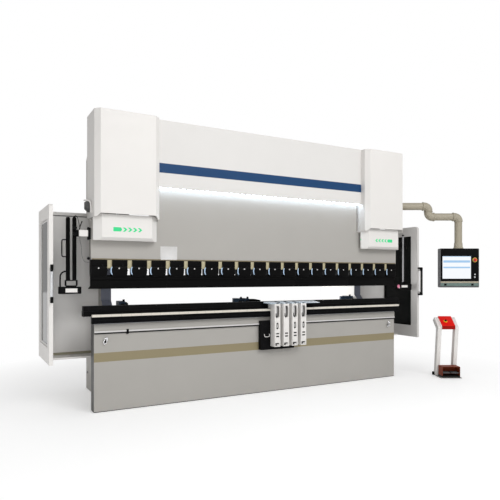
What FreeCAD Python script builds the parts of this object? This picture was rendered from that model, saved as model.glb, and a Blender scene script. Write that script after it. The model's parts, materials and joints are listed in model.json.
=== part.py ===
"""Hydraulic press brake with 4 m of bending length, in millimetres.

X runs along the machine to its right-hand end, Y away from the operator and Z up. The origin
is on the floor at mid-length, in the bending plane where the punch meets the die.
"""
import FreeCAD, Part
import os
import re
import Sketcher

SIZES = {
    # bed and lower tooling
    "bed_inset": 28, "bed_thickness": 121, "bed_height": 855, "bed_front": 38,
    "ledge_height": 80, "ledge_step": 8,
    "crown_height": 79, "crown_depth": 100,
    "holder_over": 50, "holder_height": 51, "holder_depth": 90,
    "die_height": 50, "die_depth": 60, "vee_width": 24, "vee_depth": 20,
    # sheet rail on the front of the bed
    "rail_depth": 60, "rail_height": 65, "rail_gap": 10,
    "slot_mouth": 10, "slot_width": 18, "slot_lip": 5, "slot_depth": 14,
    "strip_height": 24, "strip_depth": 30,
    # ram and upper tooling
    "stroke": 155, "shut_gap": 9, "punch_height": 121, "punch_depth": 26, "punch_tip": 3,
    "clamp_count": 20, "clamp_pitch": 200, "clamp_width": 150, "clamp_height": 165,
    "clamp_depth": 104, "key_width": 40, "key_height": 55, "key_depth": 70,
    "ram_inset": 20, "ram_thickness": 80, "shoulder_height": 395, "crown_gap": 26, "crown_rise": 570,
    # side frames and oil tank
    "frame_shift": 13, "frame_thickness": 108, "frame_back": 1180, "frame_rise": 50,
    "frame_bevel": 160, "throat_back": 430, "throat_rise": 125, "throat_bevel": 90, "roof_drop": 170,
    "head_front": 160, "head_drop": 30,
    "tank_front": 200, "tank_back": 620, "tank_lift": 23,
    # cylinders, rods and their covers
    "rod_show": 140, "cylinder_radius": 135,
    "cylinder_length": 780, "bore_radius": 90, "bore_end": 80, "gland_height": 60,
    "rod_radius": 60, "rod_gap": 0.3, "piston_gap": 5, "piston_height": 80, "piston_room": 20,
    "seat_width": 260, "seat_back": 35, "seat_rise": 80, "seat_drop": 50,
    "cover_inset": 4, "cover_width": 640, "cover_front": 218, "cover_back": 154,
    "cover_bevel": 50, "cover_drop": 130, "cover_rise": 110, "cover_wall": 4, "cover_lip": 35,
    "light_front": 165, "light_gap": 15, "light_show": 220, "light_lap": 30,
    "light_bevel": 70, "light_lip": 30,
    # front panel
    "fascia_front": 100, "fascia_lift": 337, "fascia_rise": 5, "fascia_wall": 4,
    "lamp_depth": 26, "lamp_height": 18, "lamp_margin": 8,
    # side doors and rear guards
    "door_reach": 350, "door_wall": 35, "door_front": 80, "door_back": 660,
    "door_floor": 497, "door_height": 1498, "door_round": 40, "post_width": 110, "door_rim": 100,
    "window_sill": 153, "window_head": 125, "glass_wall": 6,
    "handle_rise": 593, "handle_length": 330, "handle_reach": 45, "handle_width": 22,
    "hinge_gap": 14, "hinge_radius": 10, "knuckle_height": 60, "knuckle_gap": 0.5,
    "hinge_rise": 143, "hinge_drop": 315,
    "guard_front": 550, "guard_wall": 35, "guard_gap": 12, "guard_rim": 45,
    "guard_recess": 25, "hinge_post": 28, "hinge_post_back": 690,
    # laser guard on the ram ends
    "mount_plate": 20, "mount_height": 110, "mount_drop": 200,
    "arm_height": 64, "arm_rise": 25, "arm_depth": 50,
    "column_width": 35, "column_reach": 146, "column_step": 59, "column_hang": 420,
    "column_length": 608, "yoke_height": 61, "yoke_depth": 24,
    "sender_reach": 86, "sender_width": 203, "sender_height": 68,
    "sender_depth": 70, "lead_radius": 7, "lead_bend": 53, "lead_rise": 93,
    "rod_reach": 172, "guide_radius": 11, "guide_hang": 485,
    "guide_length": 664, "clasp_width": 60,
    "receiver_reach": 84, "receiver_width": 216, "receiver_height": 80,
    # control arm and pendant
    "pipe_radius": 40, "elbow_radius": 55, "pipe_lift": 236, "pipe_drop": 140,
    "pivot_reach": 424, "pivot_y": -210, "turn": 28.83, "bracket_wall": 12, "bracket_width": 150,
    "bracket_y": 24, "swing_length": 403, "joint_gap": 0.3,
    "collar_radius": 52, "collar_drop": 556, "collar_height": 68, "neck_height": 7,
    "pendant_width": 518, "pendant_depth": 90, "pendant_height": 520,
    "pendant_round": 12, "screen_width": 379, "screen_height": 300, "screen_rise": 117,
    "screen_wall": 4, "screen_shift": -40, "neck_radius": 40,
    "stop_radius": 20, "stop_height": 14, "stop_collar": 30, "stop_travel": 5, "stop_bed": 1,
    "stop_wall": 6, "stem_radius": 12, "stop_shift": 202, "stop_rise": 367,
    # pedal stand
    "stand_reach": 569, "stand_y": -398, "leg_margin": 3, "base_depth": 280, "base_wall": 8,
    "box_width": 230, "box_depth": 150, "box_height": 150, "box_wall": 4, "box_lip": 22,
    "leg_width": 50, "leg_depth": 80, "leg_span": 272, "leg_foot": 45, "leg_lean": 85,
    "knee_height": 650, "leg_top": 775, "leg_rake": 146, "head_wall": 14, "head_lip": 48,
    "pedal_width": 98, "pedal_length": 100, "pedal_wall": 10,
    "pedal_spacing": 110, "pin_depth": 115, "pin_height": 67, "pin_radius": 5,
    "barrel_radius": 10,
    "wheel_radius": 24, "wheel_width": 18,
    # back gauge
    "guide_width": 80, "guide_front": 90, "guide_back": 1100, "gauge_rise": 25,
    "gauge_height": 60, "shoe_front": 380, "shoe_depth": 140, "shoe_height": 50,
    "beam_front": 430, "beam_depth": 60, "beam_height": 62, "beam_rise": 54,
    "finger_width": 60, "finger_front": 360, "finger_back": 520, "finger_height": 60,
    "finger_nose": 22, "finger_margin": 25, "finger_left": -140, "finger_right": -50,
    "slide_gap": 0.3,
    # front sheet supports
    "support_first": 40, "support_pitch": 118, "support_width": 75, "support_depth": 95,
    "support_drop": 335, "support_rise": 46, "strip_gap": 5, "plate_wall": 12, "plate_back": 48,
    "opening_width": 36, "opening_height": 135, "opening_drop": 23, "opening_depth": 22,
    "slit_height": 70, "slit_drop": 214, "knob_radius": 12, "knob_reach": 10, "knob_drop": 12,
    "rest_left": -120, "rest_right": 330, "rest_height": 285, "rest_lap": 45, "rest_depth": 55,
    # hydraulic drive and electrical cabinet behind the machine
    "motor_radius": 130, "motor_length": 420, "motor_gap": 50, "motor_rise": 230,
    "pump_radius": 75, "pump_length": 190, "shelf_wall": 12, "shelf_depth": 330,
    "shelf_width": 700, "shelf_margin": 20, "cabinet_width": 420, "cabinet_front": 620,
    "cabinet_depth": 520, "cabinet_floor": 750, "cabinet_height": 1150,
}
PLACES = {
    # along the machine, from its middle
    "row_half": "clamp_count * clamp_pitch / 2",
    "ram_half": "row_half - ram_inset",
    "bed_half": "ram_half - bed_inset",
    "holder_half": "row_half + holder_over",
    "cover_outer": "ram_half - cover_inset",
    "cover_inner": "cover_outer - cover_width",
    "crown_half": "cover_inner - crown_gap",
    "cylinder_reach": "cover_outer - cover_width / 2",
    "frame_inner": "cylinder_reach + frame_shift",
    "guide_inner": "frame_inner - guide_width",
    "finger_far": "guide_inner - finger_margin",
    "door_inner": "ram_half + door_reach",
    "door_outer": "door_inner + door_wall",
    "guard_outer": "door_inner - guard_gap",
    "column_near": "ram_half + column_reach",
    "column_far": "column_near + column_step",
    "sender_near": "ram_half + sender_reach",
    "sender_far": "sender_near + sender_width",
    "rod_near": "ram_half + rod_reach",
    "receiver_near": "ram_half + receiver_reach",
    "receiver_far": "receiver_near + receiver_width",
    "pivot_x": "cover_outer + pivot_reach",
    "stand_x": "ram_half + stand_reach",
    "base_half": "leg_span / 2 + leg_margin",
    # across the machine, from the bending plane
    "bed_back": "bed_thickness - bed_front",
    "rail_back": "10 - crown_depth / 2",
    "rail_front": "rail_back - rail_depth",
    "motor_y": "tank_back + motor_gap + motor_radius",
    # levels, from the floor up
    "crown_top": "bed_height + crown_height",
    "holder_top": "crown_top + holder_height",
    "die_top": "holder_top + die_height",
    "tip": "die_top + stroke + shut_gap",
    "punch_top": "tip + punch_height",
    "ram_floor": "punch_top + clamp_height",
    "shoulder": "ram_floor + shoulder_height",
    "ram_top": "shoulder + crown_rise",
    "cylinder_floor": "shoulder + rod_show",
    "cylinder_top": "cylinder_floor + cylinder_length",
    "piston_top": "cylinder_top - bore_end - piston_room",
    "rail_base": "bed_height + rail_gap",
    "strip_top": "rail_base + rail_height + strip_height",
    "support_floor": "rail_base - support_drop",
    "plate_top": "strip_top + support_rise + plate_wall",
    "throat_floor": "bed_height + throat_rise",
    "throat_roof": "cylinder_floor - roof_drop",
    "head_floor": "cylinder_floor - head_drop",
    "frame_top": "cylinder_top + frame_rise",
    "cover_floor": "cylinder_floor - cover_drop",
    "cover_top": "cylinder_top + cover_rise",
    "light_floor": "cover_floor - light_show",
    "fascia_floor": "cover_floor + fascia_lift",
    "fascia_top": "cover_top + fascia_rise",
    "tank_floor": "fascia_floor + tank_lift",
    "door_top": "door_floor + door_height",
    "window_floor": "door_floor + window_sill",
    "window_top": "door_top - window_head",
    "handle_floor": "door_floor + handle_rise",
    "hinge_low": "door_floor + hinge_rise",
    "hinge_high": "door_top - hinge_drop",
    "mount_floor": "shoulder - mount_drop",
    "arm_floor": "mount_floor + arm_rise",
    "column_floor": "arm_floor - column_hang",
    "yoke_floor": "column_floor - yoke_height",
    "guide_floor": "arm_floor - guide_hang",
    "pipe_height": "cylinder_floor + pipe_lift",
    "collar_floor": "pipe_height - collar_drop",
    "pendant_top": "collar_floor - neck_height",
    "pendant_floor": "pendant_top - pendant_height",
    "screen_floor": "pendant_floor + screen_rise",
    "stop_level": "pendant_floor + stop_rise",
    "gauge_floor": "bed_height + gauge_rise",
    "beam_floor": "gauge_floor + beam_rise",
    "motor_z": "tank_floor + motor_rise",
}

ROLES = {"XY": "XY_Plane", "XZ": "XZ_Plane", "YZ": "YZ_Plane"}

doc = FreeCAD.newDocument("press_brake")
sheet = doc.addObject("Spreadsheet::Sheet", "dims")
for row, (alias, value) in enumerate(SIZES.items(), start=1):
    sheet.set(f"A{row}", alias)
    sheet.set(f"B{row}", str(value))
    sheet.setAlias(f"B{row}", alias)
doc.recompute()
pieces = []


def bound(text):
    """Return an expression in which places are worked out and sizes point at their cells."""
    def swap(match):
        name = match.group()
        if name in PLACES:
            return f"({bound(PLACES[name])})"
        return f"dims.{name}" if name in SIZES else name
    return re.sub("[a-z][a-z_]*", swap, str(text))


def place(item, x=0, y=0, z=0, turn=None):
    """Bind an object's position, and its turn about the vertical, to the sizes."""
    if turn is not None:
        item.Placement.Rotation = FreeCAD.Rotation(FreeCAD.Vector(0, 0, -1), 1)
        item.setExpression("Placement.Rotation.Angle", bound(turn))
    for axis, value in zip("xyz", (x, y, z)):
        item.setExpression(f"Placement.Base.{axis}", bound(value))


def piece(label, x=0, y=0, z=0, turn=None):
    """Start the body of one sub-part."""
    body = doc.addObject("PartDesign::Body", label)
    body.Label = label
    body.AllowCompound = True
    place(body, x, y, z, turn)
    pieces.append(body)
    return body


def origin(body, role):
    """Return one of a body's own origin planes or axes."""
    return next(item for item in body.Origin.OriginFeatures if item.Role == role)


def locate(sketch, geometry, point, u, v):
    """Hold one point of a sketch at u, v from its origin."""
    for kind, value in (("DistanceX", u), ("DistanceY", v)):
        index = sketch.addConstraint(Sketcher.Constraint(kind, -1, 1, geometry, point, 1.0))
        sketch.setExpression(f"Constraints[{index}]", bound(value))


def draw_loop(sketch, corners):
    """Draw a closed outline of straight edges through its corners."""
    first = sketch.GeometryCount
    count = len(corners)
    turns = [FreeCAD.Rotation(FreeCAD.Vector(0, 0, 1), 360 * k / count) for k in range(count)]
    spots = [turn.multVec(FreeCAD.Vector(1, 0, 0)) for turn in turns]
    for k in range(count):
        sketch.addGeometry(Part.LineSegment(spots[k], spots[(k + 1) % count]))
    for k, (u, v) in enumerate(corners):
        following = first + (k + 1) % count
        sketch.addConstraint(Sketcher.Constraint("Coincident", first + k, 2, following, 1))
        locate(sketch, first + k, 1, u, v)


def draw_circle(sketch, u, v, radius):
    """Draw a circle about u, v."""
    up = FreeCAD.Vector(0, 0, 1)
    index = sketch.addGeometry(Part.Circle(FreeCAD.Vector(0, 0, 0), up, 1))
    locate(sketch, index, 3, u, v)
    size = sketch.addConstraint(Sketcher.Constraint("Radius", index, 1.0))
    sketch.setExpression(f"Constraints[{size}]", bound(radius))


def sketch_on(body, plane, level, loops):
    """Draw outlines on a plane parallel to XY, XZ or YZ, at a level along the third axis.

    A loop of three values is a circle: its centre and its radius.
    """
    sketch = body.newObject("Sketcher::SketchObject", body.Label + "_sketch")
    sketch.AttachmentSupport = [(origin(body, ROLES[plane]), "")]
    sketch.MapMode = "FlatFace"
    sign = "-1" if plane == "XZ" else "1"
    sketch.setExpression("AttachmentOffset.Base.z", bound(f"{sign} * ({level})"))
    for loop in loops:
        if isinstance(loop[0], (tuple, list)):
            draw_loop(sketch, loop)
        else:
            draw_circle(sketch, *loop)
    return sketch


def pad(body, plane, low, high, *loops):
    """Add outlines to a body between two levels of the axis across the plane."""
    start = high if plane == "XZ" else low
    feature = body.newObject("PartDesign::Pad", body.Label + "_pad")
    feature.Profile = sketch_on(body, plane, start, loops)
    feature.setExpression("Length", bound(f"({high}) - ({low})"))
    doc.recompute()
    return feature


def pocket(body, plane, low, high, *loops):
    """Cut outlines out of a body between two levels, and check that material went."""
    before = body.Shape.Volume
    start = low if plane == "XZ" else high
    feature = body.newObject("PartDesign::Pocket", body.Label + "_pocket")
    feature.Profile = sketch_on(body, plane, start, loops)
    feature.setExpression("Length", bound(f"({high}) - ({low})"))
    doc.recompute()
    if not body.Shape.Volume < before:
        raise ValueError(f"a cut in {body.Label} removes nothing")
    return feature


def box(u0, u1, v0, v1):
    """Return the corners of a rectangle."""
    return [(u0, v0), (u1, v0), (u1, v1), (u0, v1)]


def repeat(body, feature, step, count, axis="X_Axis"):
    """Repeat a feature along an axis of its body."""
    pattern = body.newObject("PartDesign::LinearPattern", body.Label + "_row")
    pattern.Originals = [feature]
    pattern.Direction = (origin(body, axis), [""])
    pattern.setExpression("Length", bound(f"({step}) * (({count}) - 1)"))
    pattern.setExpression("Occurrences", bound(count))
    body.Tip = pattern
    doc.recompute()
    return pattern


def dress(body, kind, size, chosen):
    """Fillet or chamfer the edges of a body that the chosen test accepts."""
    base = body.Tip
    names = [f"Edge{k}" for k, edge in enumerate(base.Shape.Edges, start=1) if chosen(edge)]
    feature = body.newObject("PartDesign::" + kind, f"{body.Label}_{kind.lower()}")
    feature.Base = (base, names)
    feature.setExpression("Radius" if kind == "Fillet" else "Size", bound(size))
    doc.recompute()
    return feature


def lies_along(axis):
    """Return a test for straight edges that run along an axis."""
    def test(edge):
        direction = edge.tangentAt(edge.FirstParameter)
        return edge.Curve.TypeId == "Part::GeomLine" and abs(getattr(direction, axis)) > 0.99
    return test


def front_corner(edge):
    """Accept the upper front edge of a door."""
    return lies_along("x")(edge) and edge.BoundBox.YMax < 0 and edge.BoundBox.ZMin > 1000


def solid(kind, name, x=0, y=0, z=0, **sizes):
    """Make a Part primitive with its sizes and position bound."""
    item = doc.addObject("Part::" + kind, name)
    for size, value in sizes.items():
        item.setExpression(size, bound(value))
    place(item, x, y, z)
    return item


def aim(item, axis, angle):
    """Turn a primitive about an axis through its own origin."""
    item.Placement.Rotation = FreeCAD.Rotation(FreeCAD.Vector(*axis), angle)
    return item


def fuse(label, items, x=0, y=0, z=0, turn=None):
    """Join primitives into one sub-part."""
    joined = doc.addObject("Part::MultiFuse", label)
    joined.Label = label
    joined.Shapes = items
    joined.Refine = True
    place(joined, x, y, z, turn)
    pieces.append(joined)
    return joined


def mirrored(side, near, far):
    """Return the lower and the higher X of a span that lies on one side of the machine."""
    return (near, far) if side > 0 else (f"-1 * ({far})", f"-1 * ({near})")


# Bed and lower tooling
def make_bed():
    """One thick plate on edge, with a ledge along its top."""
    body = piece("bed_plate")
    ledge_front = "-1 * (bed_front + ledge_step)"
    ledge_floor = "bed_height - ledge_height"
    pad(body, "YZ", "-bed_half", "bed_half",
        [("-bed_front", 0), ("bed_back", 0), ("bed_back", "bed_height"), (ledge_front, "bed_height"),
         (ledge_front, ledge_floor), ("-bed_front", ledge_floor)])


def make_lower_tooling():
    """Crowning wedges on the bed, the die holder and the die with its vee."""
    crown = piece("crowning_bed")
    pad(crown, "YZ", "-bed_half", "bed_half",
        box("rail_back", "crown_depth / 2", "bed_height", "crown_top"))
    holder = piece("die_holder")
    half = "holder_depth / 2"
    pad(holder, "YZ", "-holder_half", "holder_half",
        box(f"-{half}", half, "crown_top", "holder_top"))
    die = piece("v_die")
    pad(die, "YZ", "-holder_half", "holder_half",
        [("-die_depth / 2", "holder_top"), ("die_depth / 2", "holder_top"), ("die_depth / 2", "die_top"),
         ("vee_width / 2", "die_top"), (0, "die_top - vee_depth"), ("-vee_width / 2", "die_top"),
         ("-die_depth / 2", "die_top")])


def make_front_rail():
    """Rail with two T-slots for the sheet supports, and the light strip on it."""
    rail = piece("front_rail")
    pad(rail, "YZ", "-ram_half", "ram_half",
        box("rail_front", "rail_back", "rail_base", "rail_base + rail_height"))
    for share in ("0.27", "0.73"):
        middle = f"(rail_base + {share} * rail_height)"
        pocket(rail, "YZ", "-ram_half - 1", "ram_half + 1",
               [("rail_front - 1", f"{middle} - slot_mouth / 2"),
                ("rail_front + slot_lip", f"{middle} - slot_mouth / 2"),
                ("rail_front + slot_lip", f"{middle} - slot_width / 2"),
                ("rail_front + slot_depth", f"{middle} - slot_width / 2"),
                ("rail_front + slot_depth", f"{middle} + slot_width / 2"),
                ("rail_front + slot_lip", f"{middle} + slot_width / 2"),
                ("rail_front + slot_lip", f"{middle} + slot_mouth / 2"),
                ("rail_front - 1", f"{middle} + slot_mouth / 2")])
    strip = piece("rail_strip")
    pad(strip, "YZ", "-ram_half", "ram_half",
        box("rail_front", "rail_front + strip_depth", "rail_base + rail_height", "strip_top"))


# Frames and everything that hangs on them
def make_frame(name, side):
    """C-shaped side plate with the seat of its cylinder."""
    body = piece(name)
    near, far = mirrored(side, "frame_inner", "frame_inner + frame_thickness")
    pad(body, "YZ", near, far,
        [("bed_back", 0), ("frame_back", 0), ("frame_back", "frame_top - frame_bevel"),
         ("frame_back - frame_bevel", "frame_top"), ("head_front", "frame_top"),
         ("head_front", "head_floor"), ("throat_back", "throat_roof"),
         ("throat_back", "throat_floor + throat_bevel"), ("throat_back - throat_bevel", "throat_floor"),
         ("bed_back", "throat_floor")])
    centre = f"{side} * cylinder_reach"
    pad(body, "YZ", f"{centre} - seat_width / 2", f"{centre} + seat_width / 2",
        box("head_front - seat_back", "head_front", "cylinder_floor + seat_rise",
            "cylinder_top - seat_drop"))


def make_tank():
    """Oil tank that ties the two frames together at the top."""
    body = piece("oil_tank")
    pad(body, "YZ", "-frame_inner", "frame_inner",
        box("tank_front", "tank_back", "tank_floor", "fascia_top - fascia_wall"))


def make_cylinders():
    """Two barrels with their glands, each with a flat against its seat."""
    body = piece("cylinders", z="cylinder_floor")
    for side in (-1, 1):
        centre = f"{side} * cylinder_reach"
        pad(body, "XY", 0, "cylinder_length", [centre, 0, "cylinder_radius"])
        pocket(body, "XY", 0, "cylinder_length - bore_end", [centre, 0, "rod_radius + rod_gap"])
        pocket(body, "XY", "gland_height", "cylinder_length - bore_end", [centre, 0, "bore_radius"])
        flat = "head_front - seat_back"
        pocket(body, "XY", 0, "cylinder_length",
               box(f"{centre} - cylinder_radius", f"{centre} + cylinder_radius", flat,
                   "cylinder_radius + 1"))
    rods = piece("piston_rods")
    for side in (-1, 1):
        centre = f"{side} * cylinder_reach"
        pad(rods, "XY", "shoulder", "piston_top", [centre, 0, "rod_radius"])
        pad(rods, "XY", "piston_top - piston_height", "piston_top",
            [centre, 0, "bore_radius - piston_gap"])


def make_cylinder_cover(name, side):
    """Sheet cover over a cylinder: bevelled corners, open below and behind."""
    body = piece(name)

    def outline(inset, back):
        near = f"{side} * (cover_inner + {inset})"
        far = f"{side} * (cover_outer - {inset})"
        front = f"-cover_front + {inset}"
        bevel_near = f"{side} * (cover_inner + cover_bevel + 0.414 * {inset})"
        bevel_far = f"{side} * (cover_outer - cover_bevel - 0.414 * {inset})"
        step = f"-cover_front + cover_bevel + 0.414 * {inset}"
        return [(near, back), (near, step), (bevel_near, front), (bevel_far, front), (far, step),
                (far, back)]

    pad(body, "XY", "cover_floor", "cover_top", outline("0", "cover_back"))
    pocket(body, "XY", "cover_floor", "cover_top - cover_wall",
           outline("cover_wall", "cover_back + 1"))
    near, far = mirrored(side, "cover_inner - 1", "cover_outer + 1")
    pocket(body, "YZ", near, far,
           [("-cover_front - 1", "cover_floor - 1"), ("-cover_front + cover_lip", "cover_floor - 1"),
            ("-cover_front - 1", "cover_floor + cover_lip")])


def make_light_covers():
    """Two housings for the running lights, one under each cylinder cover."""
    body = piece("light_covers")
    back = "-rod_radius - light_gap"
    for side in (-1, 1):
        near = f"{side} * (cover_inner + cover_wall)"
        far = f"{side} * (cover_outer - cover_wall)"
        pad(body, "XY", "light_floor", "cover_floor + light_lap",
            [(near, back), (near, "-light_front + light_bevel"),
             (f"{near} + {side} * light_bevel", "-light_front"),
             (f"{far} - {side} * light_bevel", "-light_front"),
             (far, "-light_front + light_bevel"), (far, back)])
        low, high = mirrored(side, "cover_inner", "cover_outer")
        pocket(body, "YZ", low, high,
               [("-light_front - 1", "light_floor - 1"), ("-light_front + light_lip", "light_floor - 1"),
                ("-light_front - 1", "light_floor + light_lip")])


def make_fascia():
    """Front panel folded over the top, and the lamp strip behind its lower edge."""
    body = piece("front_fascia")
    inner = "-fascia_front + fascia_wall"
    pad(body, "YZ", "-cover_inner", "cover_inner",
        [("-fascia_front", "fascia_floor"), (inner, "fascia_floor"),
         (inner, "fascia_top - fascia_wall"), ("tank_back", "fascia_top - fascia_wall"),
         ("tank_back", "fascia_top"), ("-fascia_front", "fascia_top")])
    lamp = piece("lamp_strip")
    pad(lamp, "YZ", "-cover_inner + lamp_margin", "cover_inner - lamp_margin",
        box(inner, f"{inner} + lamp_depth", "fascia_floor", "fascia_floor + lamp_height"))


# Ram and upper tooling
def make_ram():
    """Ram plate with lower shoulders under the cylinders."""
    body = piece("ram")
    pad(body, "XZ", "-ram_thickness / 2", "ram_thickness / 2",
        [("-ram_half", "ram_floor"), ("ram_half", "ram_floor"), ("ram_half", "shoulder"),
         ("crown_half", "shoulder"), ("crown_half", "ram_top"), ("-crown_half", "ram_top"),
         ("-crown_half", "shoulder"), ("-ram_half", "shoulder")])


def make_clamps():
    """Row of clamping blocks, and the keys that hang between them under the ram."""
    body = piece("clamps")
    first = "(-clamp_pitch * (clamp_count - 1) / 2)"
    half = "clamp_depth / 2"
    block = pad(body, "YZ", f"{first} - clamp_width / 2", f"{first} + clamp_width / 2",
                [(f"-{half} + 8", "punch_top"), (half, "punch_top"), (half, "ram_floor"),
                 (f"-{half}", "ram_floor"), (f"-{half}", "punch_top + 60"),
                 (f"-{half} + 8", "punch_top + 40")])
    repeat(body, block, "clamp_pitch", "clamp_count")
    keys = piece("clamp_keys")
    start = f"({first} + clamp_pitch / 2)"
    key = pad(keys, "YZ", f"{start} - key_width / 2", f"{start} + key_width / 2",
              box("-key_depth / 2", "key_depth / 2", "ram_floor - key_height", "ram_floor"))
    repeat(keys, key, "clamp_pitch", "clamp_count - 1")


def make_punch():
    """Upper tool in one row, tapered to its tip."""
    body = piece("punch")
    half = "punch_depth / 2"
    pad(body, "YZ", "-row_half", "row_half",
        [("-punch_tip / 2", "tip"), ("punch_tip / 2", "tip"), (half, "tip + 30"), (half, "punch_top"),
         (f"-{half} - 14", "punch_top"), (f"-{half} - 14", "punch_top - 26"),
         (f"-{half}", "punch_top - 44"), (f"-{half}", "tip + 30")])


# Laser guard
def make_laser_mounts():
    """Brackets on the two ends of the ram, the right one with a clasp for its rod."""
    body = piece("laser_mounts")
    for side, reach in ((-1, "column_near - column_width / 2"), (1, "rod_near - clasp_width / 2")):
        low, high = mirrored(side, "ram_half", "ram_half + mount_plate")
        pad(body, "YZ", low, high, box("-ram_thickness / 2", "ram_thickness / 2", "mount_floor",
                                       "mount_floor + mount_height"))
        low, high = mirrored(side, "ram_half + mount_plate", reach)
        pad(body, "YZ", low, high, box("-arm_depth / 2", "arm_depth / 2", "arm_floor",
                                       "arm_floor + arm_height"))
    pad(body, "XY", "arm_floor", "arm_floor + arm_height",
        box("rod_near - clasp_width / 2", "rod_near + clasp_width / 2", "-arm_depth / 2",
            "arm_depth / 2"))
    pocket(body, "XY", "arm_floor", "arm_floor + arm_height",
           ["rod_near", 0, "guide_radius + rod_gap"])


def make_left_laser():
    """Two slide columns with their yoke, and the sender below."""
    body = piece("left_laser_columns")
    for reach in ("column_near", "column_far"):
        pad(body, "XY", "column_floor", "column_floor + column_length",
            box(f"-{reach} - column_width / 2", f"-{reach} + column_width / 2",
                "-column_width / 2", "column_width / 2"))
    pad(body, "YZ", "-column_far - column_width / 2", "-column_near + column_width / 2",
        box("-yoke_depth / 2", "yoke_depth / 2", "yoke_floor", "column_floor"))
    sender = piece("left_laser_sender")
    pad(sender, "YZ", "-sender_far", "-sender_near",
        box("-sender_depth / 2", "sender_depth / 2", "yoke_floor - sender_height", "yoke_floor"))


def make_right_laser():
    """Slide rod, and the receiver below it."""
    body = piece("right_laser_rod")
    pad(body, "XY", "guide_floor", "guide_floor + guide_length", ["rod_near", 0, "guide_radius"])
    receiver = piece("right_laser_receiver")
    pad(receiver, "YZ", "receiver_near", "receiver_far",
        box("-sender_depth / 2", "sender_depth / 2", "guide_floor - receiver_height", "guide_floor"))


# Doors and rear guards
def make_door(name, side):
    """Side door with a window opening, a bow handle on its front edge and two knuckles."""
    body = piece(name)
    near, far = mirrored(side, "door_inner", "door_outer")
    middle = f"{side} * (door_inner + door_wall / 2)"
    pad(body, "YZ", near, far, box("-door_front", "door_back", "door_floor", "door_top"))
    dress(body, "Fillet", "door_round", front_corner)
    window = box("-door_front + post_width", "door_back - door_rim", "window_floor", "window_top")
    pocket(body, "YZ", near, far, window)
    for start in ("hinge_low + knuckle_height", "hinge_high + knuckle_height"):
        top = f"{start} + knuckle_height"
        pad(body, "XY", start, top, [middle, "door_back + hinge_gap", "hinge_radius"])
        pad(body, "XY", start, top,
            box(f"{middle} - 3", f"{middle} + 3", "door_back - 1", "door_back + hinge_gap"))
    for start in ("handle_floor", "handle_floor + handle_length - handle_width"):
        pad(body, "XY", start, f"{start} + handle_width",
            box(f"{middle} - handle_width / 2", f"{middle} + handle_width / 2",
                "-door_front - handle_reach", "-door_front"))
    pad(body, "XY", "handle_floor", "handle_floor + handle_length",
        [middle, "-door_front - handle_reach", "handle_width / 2"])
    glass = piece(name + "_window")
    low, high = (f"{middle} - glass_wall / 2", f"{middle} + glass_wall / 2")
    pad(glass, "YZ", low, high, window)


def make_rear_guard(name, side):
    """Fixed panel with a flanged rim, and the hinge post of its door."""
    body = piece(name)
    low, high = mirrored(side, "frame_inner + frame_thickness", "guard_outer")
    pad(body, "XZ", "guard_front", "guard_front + guard_wall",
        box(low, high, "door_floor", "door_top"))
    pocket(body, "XZ", "guard_front + guard_wall - guard_recess", "guard_front + guard_wall + 1",
           box(f"{low} + guard_rim", f"{high} - guard_rim", "door_floor + guard_rim",
               "door_top - guard_rim"))
    low, high = mirrored(side, "guard_outer - hinge_post", "guard_outer")
    pad(body, "XY", "door_floor", "door_top", box(low, high, "guard_front", "hinge_post_back"))
    axis_x = f"{side} * (door_inner + door_wall / 2)"
    axis_y = "door_back + hinge_gap"
    low, high = mirrored(side, "guard_outer - 1", "door_inner + door_wall / 2")
    for start in ("hinge_low", "hinge_high"):
        top = f"{start} + knuckle_height - knuckle_gap"
        pad(body, "XY", start, top, [axis_x, axis_y, "hinge_radius"])
        pad(body, "XY", start, top, box(low, high, f"{axis_y} - 3", f"{axis_y} + 3"))


# Control arm and pendant, both drawn along their own line and turned towards the operator
def elbow(name, x, z, about_y, bend="elbow_radius", radius="pipe_radius"):
    """Quarter bend of a pipe in an upright plane."""
    item = solid("Torus", name, x=x, z=z, Radius1=bend, Radius2=radius)
    item.Angle3 = 90
    item.Placement.Rotation = FreeCAD.Rotation(FreeCAD.Vector(1, 0, 0), 90)
    turned = FreeCAD.Rotation(FreeCAD.Vector(0, 1, 0), about_y)
    item.Placement.Rotation = turned.multiply(item.Placement.Rotation)
    return item


def pipe(name, x, z, length, level, radius="pipe_radius"):
    """Straight run of a pipe, level or upright."""
    item = solid("Cylinder", name, x=x, z=z, Radius=radius, Height=length)
    return aim(item, (0, 1, 0), 90) if level else item


def make_lead():
    """Stiff lead from the sender up into the side of its column."""
    side = "(-column_far - column_width / 2)"
    rise = pipe("lead_rise_run", f"{side} - lead_bend", "yoke_floor", "lead_rise", False, "lead_radius")
    bend = elbow("lead_turn", side, "yoke_floor + lead_rise", -90, "lead_bend", "lead_radius")
    fuse("sender_lead", [rise, bend])


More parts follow.
